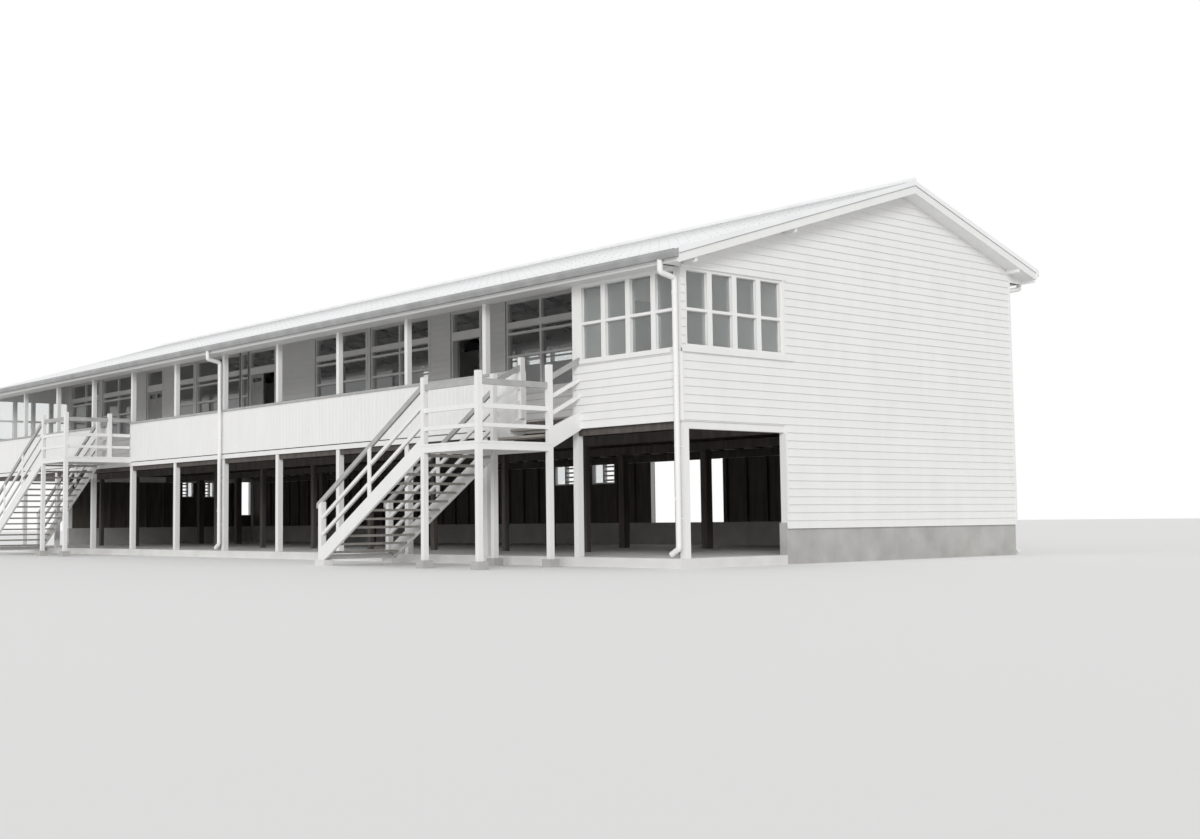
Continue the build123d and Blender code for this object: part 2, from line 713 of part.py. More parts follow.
with BuildPart() as gutters:
    for sign, d_back, top in ((-1, fascia_front, gutter_top), (1, fascia_rear, rear_gutter_top)):
        section(-verge_x, verge_x, gutter_outline(d_back, sign, top))
        for x0 in (-verge_x, verge_x - gutter_skin):
            section(x0, x0 + gutter_skin, gutter_end_outline(d_back, sign, top))
finish(gutters.part, "gutters")

# raked verandah lining under the rafters
with BuildPart() as verandah_ceiling:
    d0 = skin + post_up
    section(-inner_x, inner_x, [(d0, slope_z(ceiling_foot, d0)),
                                (verandah_depth, slope_z(ceiling_foot, verandah_depth)),
                                (verandah_depth, slope_z(rafter_foot, verandah_depth)),
                                (d0, slope_z(rafter_foot, d0))])
finish(verandah_ceiling.part, "verandah_ceiling")

# downpipes: a drop from the gutter, a rake back to the wall line, then down to a shoe
pipe_d = -cap_over - pipe_dia / 2 - 2
rear_pipe_d = block_depth + pipe_dia / 2 + 2
front_drop = (fascia_front - gutter_wide / 2 + 10, gutter_top - gutter_high, 190.0)
rear_drop = (fascia_rear + gutter_wide / 2 - 10, rear_gutter_top - gutter_high, 205.0)
rake_fall = 60.0
rear_fall = 90.0
shoe_top = slab_top + 150
pipes = []
for x in (grid_x(0) + 8, grid_x(6) + 8, grid_x(bay_count) - 8):
    d, z, drop = front_drop
    pipes.append([(x, fy(d), z), (x, fy(d), z - drop), (x, fy(pipe_d), z - drop - rake_fall),
                  (x, fy(pipe_d), shoe_top), (x - 160, fy(pipe_d), shoe_top - 90)])
for x in (grid_x(0) - 40, grid_x(6), grid_x(bay_count) + 40):
    d, z, drop = rear_drop
    pipes.append([(x, fy(d), z), (x, fy(d), z - drop), (x, fy(rear_pipe_d), z - drop - rear_fall),
                  (x, fy(rear_pipe_d), 150), (x, fy(rear_pipe_d + 160), 60)])
with BuildPart() as downpipes:
    for path in pipes:
        with BuildLine():
            FilletPolyline(*path, radius=46)
        with BuildSketch(Plane(path[0], z_dir=(0, 0, -1))):
            Circle(pipe_dia / 2)
        sweep()
finish(downpipes.part, "downpipes")

# stairs: the near flight runs along the block to a landing with a short flight in to the verandah;
# the far flight runs up to a platform level with the verandah floor
landing_top = landing_risers * riser
deck_thick = 30.0
frame_deep = 105.0
slope = riser / going
slope_len = (1 + slope * slope) ** 0.5
stringer_low = 110.0
stringer_high = stringer_deep * slope_len - stringer_low
rail_rise = 975.0
rail_deep = 95.0
rail_wide = 45.0
mid_rail_deep = 70.0
newel_rise = 1090.0
landing_newel = 1094.0
upper_newels = (1236.0, 1264.0)
newel_lift = 37.0
foot_newel_high = 1150.0
foot_newel = stair_post + 12
toe = 10.0

lx0 = near_x(landing_far)
lx1 = near_x(landing_near)
deck_x0 = lx0 - half_post
deck_x1 = lx1 + half_post
deck_d0 = -landing_front - half_post
deck_d1 = -landing_back + half_post
landing_corners = [(lx0, -landing_front), (lx1, -landing_front), (lx0, -landing_back), (lx1, -landing_back)]
newel_tops = [landing_top + high for high in (landing_newel, landing_newel, *upper_newels)]
near_run = (landing_top - stringer_low) / slope + toe
foot_x = deck_x0 - near_run

px0 = near_x(platform_far)
px1 = near_x(platform_near)
plat_x0 = px0 - half_post
plat_x1 = px1 + half_post
plat_d0 = -platform_front - half_post
plat_d1 = -platform_back + half_post
front_corners = [(px0, -platform_front), (px1, -platform_front)]
deck_newels = [(px0, -platform_back), (px1, -platform_mid)]
far_run = (floor_top - stringer_low) / slope + toe
far_foot_x = plat_x0 - far_run

upper_rise = total_risers - landing_risers
upper_going = -deck_d1 / (upper_rise - 1)
upper_slope = riser / upper_going


def flight_outline(x_top, z_top, run):
    # side of a stringer: the flight falls from x_top, z_top towards -X
    def line(x, off):
        return z_top - slope * (x_top - x) + off
    x_low = x_top - (z_top - stringer_low) / slope
    x_foot = x_top - run
    return [(x_top, line(x_top, -stringer_low)), (x_low, 0), (x_foot, 0),
            (x_foot, line(x_foot, stringer_high)), (x_top, line(x_top, stringer_high))]


def rail_line(x, z_top, x_top):
    return z_top + rail_rise - slope * (x_top - x)


def baluster_outline(x, z_top, x_top):
    foot = z_top - slope * (x_top - x) + stringer_high
    head = rail_line(x, z_top, x_top) - 20
    return [(x - half_post, foot - slope * half_post), (x + half_post, foot + slope * half_post),
            (x + half_post, head), (x - half_post, head)]


def raked(x0, x1, z_top, x_top, drop, deep):
    z0 = rail_line(x0, z_top, x_top) - drop
    z1 = rail_line(x1, z_top, x_top) - drop
    return [(x0, z0 - deep), (x1, z1 - deep), (x1, z1), (x0, z0)]


def post(x, d, z0, z1, wide=stair_post, mode=Mode.ADD):
    block(x - wide / 2, x + wide / 2, d - wide / 2, d + wide / 2, z0, z1, mode)


newel_foot = floor_top + newel_lift
with BuildPart() as stair_posts:
    for (x, d), top in zip(landing_corners, newel_tops):
        post(x, d, footing_high, top)
    post(lx0, -half_post, newel_foot, floor_top + newel_rise)
    for x, d in front_corners:
        post(x, d, footing_high, floor_top + newel_rise)
    for x, d in deck_newels:
        post(x, d, floor_top - deck_thick - frame_deep, floor_top + newel_rise)
    for d in (-landing_front, -landing_back):
        block(foot_x - foot_newel, foot_x, d - foot_newel / 2, d + foot_newel / 2, 0, foot_newel_high)
        profile(d - half_post, d - rail_wide / 2,
                baluster_outline((foot_x + deck_x0) / 2, landing_top, deck_x0))
    for d in (-platform_front, -platform_back):
        block(far_foot_x - foot_newel, far_foot_x, d - foot_newel / 2, d + foot_newel / 2, 0, foot_newel_high)
        for share in (0.33, 0.67):
            x = far_foot_x + share * (plat_x0 - far_foot_x)
            profile(d - half_post, d - rail_wide / 2, baluster_outline(x, floor_top, plat_x0))
finish(stair_posts.part, "stair_posts")

with BuildPart() as stair_footings:
    blocks([(x, d, footing_high / 2) for x, d in landing_corners + front_corners],
           footing, footing, footing_high)
finish(stair_footings.part, "stair_footings")

post_lines = landing_corners + front_corners + deck_newels
with BuildPart() as stair_decks:
    block(deck_x0, deck_x1, deck_d0, deck_d1, landing_top - deck_thick, landing_top)
    block(plat_x0, plat_x1, plat_d0, 0, floor_top - deck_thick, floor_top)
    for x, d in post_lines:
        post(x, d, 0, floor_top + 10, mode=Mode.SUBTRACT)
finish(stair_decks.part, "stair_decks")

with BuildPart() as deck_frames:
    for x0, x1, d0, d1, top in ((deck_x0, deck_x1, deck_d0, deck_d1, landing_top - deck_thick),
                                (plat_x0, plat_x1, plat_d0, 0, floor_top - deck_thick)):
        block(x0, x1, d0, d1, top - frame_deep, top)
        block(x0 + stair_plank, x1 - stair_plank, d0 + stair_plank, d1 - stair_plank,
              top - frame_deep, top, Mode.SUBTRACT)
    for x, d in post_lines:
        post(x, d, 0, floor_top + 10, mode=Mode.SUBTRACT)
finish(deck_frames.part, "deck_frames")

upper_low = 230.0
upper_high = 73.0
with BuildPart() as stringers:
    for d0 in (deck_d0, deck_d1 - stair_plank):
        profile(d0, d0 + stair_plank, flight_outline(deck_x0, landing_top, near_run))
    for d0 in (plat_d0, plat_d1 - stair_plank):
        profile(d0, d0 + stair_plank, flight_outline(plat_x0, floor_top, far_run))
    for x0 in (deck_x0, deck_x1 - stair_plank):
        section(x0, x0 + stair_plank, [(0, floor_top - upper_low), (0, floor_top + upper_high),
                                       (deck_d1, floor_top + stringer_low + upper_slope * deck_d1),
                                       (deck_d1, floor_top - upper_low + upper_slope * deck_d1)])
    post(lx0, -half_post, newel_foot, floor_top + newel_rise, mode=Mode.SUBTRACT)
finish(stringers.part, "stringers")

tread_lap = 20.0
with BuildPart() as treads:
    for x_top, risers, d0, d1 in ((deck_x0, landing_risers, deck_d0, deck_d1),
                                  (plat_x0, total_risers, plat_d0, plat_d1)):
        boards = []
        for i in range(1, risers):
            nose = x_top - (risers - i - 1) * going
            boards.append((nose - going - tread_lap, nose, i * riser - tread_thick, i * riser))
        panels(boards, d0 + stair_plank, d1 - stair_plank)
    for i in range(1, upper_rise):
        d0 = deck_d1 + (i - 1) * upper_going
        z = landing_top + i * riser
        block(deck_x0 + stair_plank, deck_x1 - stair_plank, d0, d0 + upper_going, z - tread_thick, z)
finish(treads.part, "treads")

# grey handrails on top, white rails below them, level round the decks and raked on the flights
level_drops = [(389.0, 76.0), (695.0, 62.0)]
raked_drops = [(320.0, mid_rail_deep), (620.0, mid_rail_deep)]
half_rail = rail_wide / 2


def level_rails(drop, deep):
    for x0, x1, d_front, d_back, top in ((lx0, lx1, -landing_front, -landing_back - half_post, landing_top),
                                         (px0, px1, -platform_front, -platform_mid - half_post, floor_top)):
        z1 = top + rail_rise - drop
        block(x0 + half_post, x1 - half_post, d_front - half_rail, d_front + half_rail, z1 - deep, z1)
        block(x1 - half_rail, x1 + half_rail, d_front + half_post, d_back, z1 - deep, z1)
    z1 = floor_top + rail_rise - drop
    block(px1 - half_rail, px1 + half_rail, -platform_mid + half_post, -cap_over, z1 - deep, z1)
    block(px0 - half_rail, px0 + half_rail, -platform_back + half_post, -cap_over, z1 - deep, z1)


def raked_rails(drop, deep):
    for d in (-landing_front, -landing_back):
        profile(d - half_rail, d + half_rail, raked(foot_x, deck_x0, landing_top, deck_x0, drop, deep))
    for d in (-platform_front, -platform_back):
        profile(d - half_rail, d + half_rail, raked(far_foot_x, plat_x0, floor_top, plat_x0, drop, deep))


def upper_rails(drop, deep):
    z1 = floor_top + rail_rise - 15 - drop
    for x, d_end in ((lx0, -stair_post), (lx1, 0)):
        fall = upper_slope * (deck_d1 - d_end)
        section(x - half_rail, x + half_rail, [(deck_d1, z1 - deep + fall), (d_end, z1 - deep), (d_end, z1),
                                               (deck_d1, z1 + fall)])


with BuildPart() as handrails:
    level_rails(0, rail_deep)
    raked_rails(0, rail_deep)
    upper_rails(0, rail_deep)
finish(handrails.part, "handrails")

with BuildPart() as mid_rails:
    for drop, deep in level_drops:
        level_rails(drop, deep)
    for drop, deep in raked_drops:
        raked_rails(drop, deep)
    upper_rails(330.0, mid_rail_deep)
finish(mid_rails.part, "mid_rails")
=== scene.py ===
import json
import math

import bmesh
import bpy
from mathutils import Matrix, Vector


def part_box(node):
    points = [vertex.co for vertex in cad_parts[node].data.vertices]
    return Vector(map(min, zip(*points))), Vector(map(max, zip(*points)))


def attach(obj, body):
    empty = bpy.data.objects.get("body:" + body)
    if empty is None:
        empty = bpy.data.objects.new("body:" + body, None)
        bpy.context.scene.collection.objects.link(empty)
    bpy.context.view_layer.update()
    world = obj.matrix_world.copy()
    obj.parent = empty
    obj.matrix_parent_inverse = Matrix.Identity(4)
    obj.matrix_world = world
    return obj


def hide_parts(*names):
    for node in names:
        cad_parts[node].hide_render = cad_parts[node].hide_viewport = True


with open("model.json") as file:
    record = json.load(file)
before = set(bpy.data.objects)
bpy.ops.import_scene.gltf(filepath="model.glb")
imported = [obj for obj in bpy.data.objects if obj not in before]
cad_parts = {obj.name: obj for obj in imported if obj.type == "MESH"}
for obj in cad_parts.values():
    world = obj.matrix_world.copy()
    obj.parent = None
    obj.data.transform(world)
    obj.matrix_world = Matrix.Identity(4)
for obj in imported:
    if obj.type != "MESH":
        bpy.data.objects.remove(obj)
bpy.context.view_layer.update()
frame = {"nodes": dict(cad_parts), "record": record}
print("frame loaded:", len(frame["nodes"]), "nodes")

# places read from the frame, in metres
gableLow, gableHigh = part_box("gable_wall_near")
classLow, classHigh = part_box("classroom_front_wall")
balustradeLow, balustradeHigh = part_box("balustrade_boards")
roomLow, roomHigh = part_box("room_front_wall")
ridgeLow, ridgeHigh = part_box("ridge_board")
gutterLow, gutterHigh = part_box("gutters")
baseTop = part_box("base_wall")[1].z
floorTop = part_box("classroom_floor")[1].z
gableX = gableHigh.x                     # outer face of the near gable
innerX = gableLow.x                      # its inner face
wallThick = gableX - innerX
frontY = gableLow.y                      # verandah front
classY = classLow.y                      # outer face of the classroom wall
rearY = gableHigh.y
ridgeY = (ridgeLow.y + ridgeHigh.y) / 2
verandahDepth = classY - frontY

# measured values that several pieces share
bay = 2.4384
bayCount = 12
postWide = 0.115
postLine = gableX - postWide / 2         # centre of the first post
partitionThick = 0.1                     # wall between the closed room and the verandah
gableFoot = 2.24                         # foot of the boards over the open end
roofPitch = 0.3115                       # rise over run
sheetApex = 6.6765                       # top of the roof sheets at the ridge line
soffitApex = 6.447                       # underside of the verges at the ridge line
hair = 0.001                             # shorter than this counts as nothing
flush = 0.0001                           # nearer than this counts as the same place
steep = 0.9                              # from this z on, a direction counts as upright


# small mesh helpers

def joinMesh(name, verts, faces, slotName, replaced=(), closed=True, finish=None):
    mesh = bpy.data.meshes.new(name)
    mesh.from_pydata([tuple(v) for v in verts], [], faces)
    mesh.validate()
    if closed:
        work = bmesh.new()
        work.from_mesh(mesh)
        bmesh.ops.recalc_face_normals(work, faces=work.faces)
        work.to_mesh(mesh)
        work.free()
    mesh.update()
    piece = bpy.data.objects.new(name, mesh)
    bpy.context.scene.collection.objects.link(piece)
    piece.data.materials.append(finish or finishes[slotName])
    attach(piece, "root")
    if replaced:
        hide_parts(*replaced)
    return piece


def addBlock(verts, faces, place, a0, a1, t0, t1, z0, z1):
    # a block in a wall's or a door's own directions: along, through and up
    start = len(verts)
    for a in (a0, a1):
        for t in (t0, t1):
            for z in (z0, z1):
                verts.append(place(a, t, z))
    for quad in ((0, 1, 3, 2), (4, 6, 7, 5), (0, 4, 5, 1), (2, 3, 7, 6), (0, 2, 6, 4), (1, 5, 7, 3)):
        faces.append([start + i for i in quad])


def addBox(verts, faces, low, high):
    ends = [end for pair in zip(low, high) for end in pair]
    addBlock(verts, faces, lambda x, y, z: (x, y, z), *ends)


def skinTube(faces, start, count):
    # the sides and the two ends between two loops of points that follow each other
    for i in range(count):
        j = (i + 1) % count
        faces.append([start + i, start + j, start + count + j, start + count + i])
    faces.append([start + i for i in reversed(range(count))])
    faces.append([start + count + i for i in range(count)])


def addPrism(verts, faces, outline, low, high, across="y"):
    # an outline in the two other directions, drawn out along the one it runs across
    start = len(verts)
    for end in (low, high):
        for a, b in outline:
            verts.append({"x": (end, a, b), "y": (a, end, b), "z": (a, b, end)}[across])
    skinTube(faces, start, len(outline))


def addRing(verts, faces, centre, axis, radius, length, sides=12):
    # a short closed tube section round an axis, used for collars, laps and heads
    axis = Vector(axis).normalized()
    side = axis.cross(Vector((0, 0, 1)) if abs(axis.z) < steep else Vector((1, 0, 0))).normalized()
    other = axis.cross(side)
    start = len(verts)
    for end in (-0.5, 0.5):
        for i in range(sides):
            angle = 2 * math.pi * i / sides
            verts.append(Vector(centre) + axis * length * end
                         + (side * math.cos(angle) + other * math.sin(angle)) * radius)
    skinTube(faces, start, sides)


def sheetParts(u0, u1, z0, z1, holes):
    # the upright rectangles that are left of a sheet once its holes are cut
    cuts = sorted({u0, u1, *[u for hole in holes for u in hole[:2] if u0 < u < u1]})
    parts = []
    for a, b in zip(cuts, cuts[1:]):
        level = z0
        crossing = [hole for hole in holes if hole[0] < b - hair and hole[1] > a + hair]
        for hole in sorted(crossing, key=lambda h: h[2]):
            if hole[2] > level:
                parts.append((a, b, level, min(hole[2], z1)))
            level = max(level, hole[3])
        if level < z1:
            parts.append((a, b, level, z1))
    return parts


def slopeZ(apex, y):
    return apex - roofPitch * abs(ridgeY - y)


def slopeBand(y0, y1, lowApex, highApex):
    # the side view of a strip that follows the roof's slope
    return [(y0, slopeZ(lowApex, y0)), (y1, slopeZ(lowApex, y1)), (y1, slopeZ(highApex, y1)),
            (y0, slopeZ(highApex, y0))]


def spanX(a, b):
    # bays counted from the near end
    return postLine - b * bay, postLine - a * bay


# places on a wall: along it, out from its outer face, and up

def onNearGable(u, out, z):
    return gableX + out, frontY + u, z


def onFarGable(u, out, z):
    return -gableX - out, frontY + u, z


def onRoomWall(u, out, z):
    return u, frontY - out, z


def onClassWall(u, out, z):
    return u, classY - out, z


def onRearWall(u, out, z):
    return u, rearY + out, z


# finishes: patches of tone in the colour, and a finer grain in the bump

def newFinish(name, roughness, metallic=0.0):
    material = bpy.data.materials.new(name)
    material.use_nodes = True
    tree = material.node_tree
    shader = tree.nodes["Principled BSDF"]
    shader.inputs["Roughness"].default_value = roughness
    shader.inputs["Metallic"].default_value = metallic
    return material, tree, shader


even = (1, 1, 1)                         # stretch of a pattern that runs no way in particular


def placeNoise(tree, scale, detail, stretch):
    coords = tree.nodes.new("ShaderNodeTexCoord")
    mapping = tree.nodes.new("ShaderNodeMapping")
    mapping.inputs["Scale"].default_value = stretch
    noise = tree.nodes.new("ShaderNodeTexNoise")
    noise.inputs["Scale"].default_value = scale
    noise.inputs["Detail"].default_value = detail
    tree.links.new(coords.outputs["Object"], mapping.inputs["Vector"])
    tree.links.new(mapping.outputs["Vector"], noise.inputs["Vector"])
    return noise


patchTones = {"darkFrom": 0.25, "lightFrom": 0.75, "grainDetail": 5.0}
whitePaint = {"dark": (0.755, 0.753, 0.745), "light": (0.795, 0.793, 0.785), "roughness": 0.55, "patch": 3.5,
              "detail": 8.0, "stretch": (1, 1, 0.25), "grain": 60, "bump": 0.12, "bumpDeep": 0.002}
greyPaint = {"dark": (0.34, 0.34, 0.335), "light": (0.44, 0.44, 0.43), "roughness": 0.6, "patch": 5.0,
             "detail": 4.0, "grain": 70, "bump": 0.15, "bumpDeep": 0.002}
# near-black dark timber: partly the unpainted wood's own tone and partly painted shade, standing in for the
# shade under the floor
darkTimberAndPaintedShade = {"dark": (0.050, 0.044, 0.040), "light": (0.105, 0.092, 0.082), "roughness": 0.8, "patch": 9.0,
               "detail": 4.0, "stretch": (1, 1, 0.12), "grain": 40, "bump": 0.3, "bumpDeep": 0.003,
               "grainStretch": (1, 1, 0.1)}
deckTimber = {"dark": (0.27, 0.255, 0.235), "light": (0.42, 0.40, 0.37), "roughness": 0.75, "patch": 12.0,
              "detail": 4.0, "stretch": (0.15, 1, 1), "grain": 45, "bump": 0.25, "bumpDeep": 0.002,
              "grainStretch": (0.1, 1, 1)}
concreteFace = {"patch": 2.2, "detail": 9.0, "grain": 55, "bump": 0.35, "bumpDeep": 0.004}
# two copies of one concrete: the slab's copy is lighter, painted light that lifts the undercroft slab and the
# stair pads out of their shade
wallConcrete = {"dark": (0.34, 0.335, 0.325), "light": (0.48, 0.475, 0.46), "roughness": 0.85, **concreteFace}
slabConcretePaintedLight = {"dark": (0.60, 0.595, 0.58), "light": (0.72, 0.715, 0.70), "roughness": 0.8, **concreteFace}
ironFace = {"patch": 3.0, "detail": 6.0, "stretch": (1, 0.3, 1), "grain": 25, "bump": 0.05, "bumpDeep": 0.002}
roofIron = {"dark": (0.78, 0.785, 0.79), "light": (0.86, 0.865, 0.87), "roughness": 0.6, "metallic": 0.05,
            **ironFace}
gutterIron = {"dark": (0.29, 0.293, 0.293), "light": (0.42, 0.423, 0.423), "roughness": 0.55, "metallic": 0.2,
              **ironFace}
windowPane = {"colour": (0.88, 0.90, 0.90), "roughness": 0.01, "ior": 1.45, "through": 0.93}


def mixFinish(name, look):
    material, tree, shader = newFinish(name, look["roughness"], look.get("metallic", 0.0))
    patches = placeNoise(tree, look["patch"], look["detail"], look.get("stretch", even))
    ramp = tree.nodes.new("ShaderNodeValToRGB")
    ramp.color_ramp.elements[0].position = patchTones["darkFrom"]
    ramp.color_ramp.elements[1].position = patchTones["lightFrom"]
    ramp.color_ramp.elements[0].color = (*look["dark"], 1)
    ramp.color_ramp.elements[1].color = (*look["light"], 1)
    tree.links.new(patches.outputs["Fac"], ramp.inputs["Fac"])
    tree.links.new(ramp.outputs["Color"], shader.inputs["Base Color"])
    grain = placeNoise(tree, look["grain"], patchTones["grainDetail"], look.get("grainStretch", even))
    bump = tree.nodes.new("ShaderNodeBump")
    bump.inputs["Strength"].default_value = look["bump"]
    bump.inputs["Distance"].default_value = look["bumpDeep"]
    tree.links.new(grain.outputs["Fac"], bump.inputs["Height"])
    tree.links.new(bump.outputs["Normal"], shader.inputs["Normal"])
    return material


def makeWindowPane():
    material, _, shader = newFinish("windowPane", windowPane["roughness"])
    shader.inputs["Base Color"].default_value = (*windowPane["colour"], 1)
    shader.inputs["IOR"].default_value = windowPane["ior"]
    shader.inputs["Transmission Weight"].default_value = windowPane["through"]
    return material


finishes = {
    "white_timber": mixFinish("whitePaint", whitePaint),
    "pale_timber": mixFinish("greyPaint", greyPaint),
    "dark_timber": mixFinish("darkTimberAndPaintedShade", darkTimberAndPaintedShade),
    "floor_timber": mixFinish("deckTimber", deckTimber),
    "concrete": mixFinish("wallConcrete", wallConcrete),
    "roof_metal": mixFinish("roofIron", roofIron),
    "gutter_metal": mixFinish("gutterIron", gutterIron),
    "glass": makeWindowPane(),
}
finishes["white_metal"] = finishes["white_timber"]
slabPaintedLightFinish = mixFinish("slabConcretePaintedLight", slabConcretePaintedLight)
print("finishes made")


def dressFrame():
    coats = [(part["node"], finishes[part["material_slot"]]) for part in frame["record"]["subparts"]]
    # the undercroft slab takes the lighter copy of the concrete, which is painted light
    for name, finish in [*coats, ("undercroft_slab", slabPaintedLightFinish)]:
        node = frame["nodes"][name]
        node.data.materials.clear()
        node.data.materials.append(finish)


dressFrame()

# weatherboards: each row slopes out to its lower edge and laps over the row below
lapBoard = {"cover": 0.1295, "butt": 0.021, "thin": 0.003, "footShare": 0.256, "topGap": 0.010,
            "shortest": 0.004}


def lapBoards(name, place, foot, top, outline, holes, flip=False):
    cover, butt, thin = lapBoard["cover"], lapBoard["butt"], lapBoard["thin"]
    verts, faces = [], []

    def addQuad(*corners):
        start = len(verts)
        verts.extend(place(*corner) for corner in corners)
        order = (3, 2, 1, 0) if flip else (0, 1, 2, 3)
        faces.append([start + i for i in order])

    for row in range(math.ceil((top - foot) / cover)):
        low = foot + row * cover
        high = min(low + cover, top)
        inside = [z for hole in holes for z in hole[2:] if low + 2 * hair < z < high - 2 * hair]
        cuts = sorted({low, high, *inside})
        for a, b in zip(cuts, cuts[1:]):
            outA = thin + (butt - thin) * (1 - (a - low) / cover)
            outB = thin + (butt - thin) * (1 - (b - low) / cover)
            runs = [(*outline(a), *outline(b))]
            for u0, u1, z0, z1 in holes:
                if z0 > a + hair or z1 < b - hair:
                    continue
                kept = []
                for l0, r0, l1, r1 in runs:
                    if u1 <= min(l0, l1) or u0 >= max(r0, r1):
                        kept.append((l0, r0, l1, r1))
                        continue
                    if u0 > l0:
                        kept.append((l0, u0, l1, u0))
                    if u1 < r0:
                        kept.append((u1, r0, u1, r1))
                runs = kept
            for l0, r0, l1, r1 in runs:
                if r0 - l0 < lapBoard["shortest"]:
                    continue
                addQuad((l0, outA, a), (r0, outA, a), (r1, outB, b), (l1, outB, b))
                addQuad((l0, 0, a), (r0, 0, a), (r0, outA, a), (l0, outA, a))
                addQuad((l0, 0, a), (l0, outA, a), (l1, outB, b), (l1, 0, b))
                addQuad((r0, outA, a), (r0, 0, a), (r1, 0, b), (r1, outB, b))
    joinMesh(name, verts, faces, "white_timber", closed=False)


# the strip of panes in each gable, and the one along the closed room's front
strip = {"low": 3.295, "high": 4.605, "start": 0.125, "end": 2.335, "margin": 0.040, "headGap": 0.020,
         "coverWide": 0.055, "panes": 4, "frontStile": 0.010, "rearStile": 0.045, "mullion": 0.105,
         "rows": ((3.380, 3.9405), (3.9855, 4.560)), "roomFrom": 2.285, "roomPane": 0.474, "roomStop": 0.025}
lowWindow = {"sill": 1.64, "head": 2.16, "openSill": 1.05}
pastCorner = -1.0                        # a hole from here is open to the wall's end


def gableOutline(z):
    reach = (soffitApex - z) / roofPitch
    return max(0.0, ridgeY - frontY - reach), min(rearY - frontY, ridgeY - frontY + reach)


gableHoles = [
    (pastCorner, verandahDepth, 0.0, gableFoot),
    (strip["start"] - strip["margin"], strip["end"] + strip["coverWide"], strip["low"],
     strip["high"] + strip["headGap"]),
]
farHoles = [
    (6.172, 6.603, lowWindow["sill"], lowWindow["head"]),
    (6.992, 7.358, lowWindow["sill"], lowWindow["head"]),
    (8.373, 8.705, lowWindow["openSill"], lowWindow["head"]),
]
boardFoot = baseTop + lapBoard["cover"] * lapBoard["footShare"] - lapBoard["cover"]
gableTop = soffitApex - lapBoard["topGap"]
lapBoards("gable_boards_near", onNearGable, boardFoot, gableTop, gableOutline, gableHoles)
lapBoards("gable_boards_far", onFarGable, boardFoot, gableTop, gableOutline, gableHoles + farHoles, flip=True)

# windows and doorways as shares of a bay, from the near end
windowBays = [(1.06, 1.94), (2.06, 2.94), (4.02, 4.95), (5.02, 5.93), (7.27, 7.43), (7.45, 8.43),
              (8.50, 8.95), (10.06, 10.94), (11.06, 11.90)]
doorBays = [(3.28, 3.70), (6.71, 7.25), (9.28, 9.70)]
rearBays = [(n + 0.06, n + 0.94) for n in range(6)] + [(6.06, 6.50), (7.05, 7.94)]
lowBays = [(4.52, 4.87), (5.10, 5.48)]
tallBays = [(3.03, 4.0)]
classBank = {"sill": 3.295, "head": 5.13, "doorFoot": 2.0, "topGap": 0.04}
rearBank = {"sill": 4.83, "head": 5.33, "tallHead": 2.20, "eave": 5.217}
cornerStop = {"wide": 0.035, "proud": 0.021, "boardsIn": 0.030, "frontLip": 0.004, "footLap": 0.002,
              "aboveBase": 0.2}

classHoles = [(*spanX(a, b), classBank["sill"], classBank["head"]) for a, b in windowBays]
classHoles += [(*spanX(a, b), classBank["doorFoot"], classBank["head"]) for a, b in doorBays]
lapBoards("classroom_boards", onClassWall, floorTop, classHigh.z - classBank["topGap"],
          lambda z: (-innerX, postLine - bay - partitionThick / 2), classHoles)
lapBoards("room_boards", onRoomWall, gableFoot - cornerStop["footLap"], roomHigh.z,
          lambda z: (roomLow.x + cornerStop["boardsIn"], gableX - cornerStop["boardsIn"]), [])

rearHoles = [(*spanX(a, b), rearBank["sill"], rearBank["head"]) for a, b in rearBays]
rearHoles += [(*spanX(a, b), lowWindow["sill"], lowWindow["head"]) for a, b in lowBays]
rearHoles += [(*spanX(a, b), baseTop, rearBank["tallHead"]) for a, b in tallBays]
rearTop = rearBank["eave"]
lapBoards("rear_boards", onRearWall, boardFoot, rearTop, lambda z: (-gableX, gableX), rearHoles, flip=True)
print("weatherboards laid")

# cover strips round the openings
coverStrip = {"wide": 0.045, "proud": 0.022}


def addSurround(verts, faces, place, u0, u1, z0, z1, without=None):
    wide = coverStrip["wide"]
    bars = {
        "left": (u0 - wide, u0, z0 - wide, z1 + wide),
        "right": (u1, u1 + wide, z0 - wide, z1 + wide),
        "head": (u0, u1, z1, z1 + wide),
        "sill": (u0, u1, z0 - wide, z0),
    }
    for side, (a0, a1, b0, b1) in bars.items():
        if side != without:
            addBlock(verts, faces, place, a0, a1, 0, coverStrip["proud"], b0, b1)


def surroundOpenings():
    verts, faces = [], []
    wide = coverStrip["wide"]
    for u0, u1, z0, z1 in classHoles:
        if z0 < floorTop:
            addSurround(verts, faces, onClassWall, u0, u1, floorTop + wide, z1, without="sill")
        else:
            addSurround(verts, faces, onClassWall, u0, u1, z0, z1)
    for u0, u1, z0, z1 in rearHoles:
        if z0 < baseTop + hair:
            addSurround(verts, faces, onRearWall, u0, u1, z0 + wide, z1, without="sill")
        elif z1 > rearTop:
            addSurround(verts, faces, onRearWall, u0, u1, z0, rearTop - wide, without="head")
        else:
            addSurround(verts, faces, onRearWall, u0, u1, z0, z1)
    for u0, u1, z0, z1 in farHoles:
        addSurround(verts, faces, onFarGable, u0, u1, z0, z1)
    joinMesh("opening_surrounds", verts, faces, "white_timber")


surroundOpenings()

# bead over the head and down the rear side of each gable's strip of panes
stripBead = {"footUp": 0.06, "headFrom": 0.01, "headPast": 0.09, "headHigh": 0.03, "headProud": 0.035}


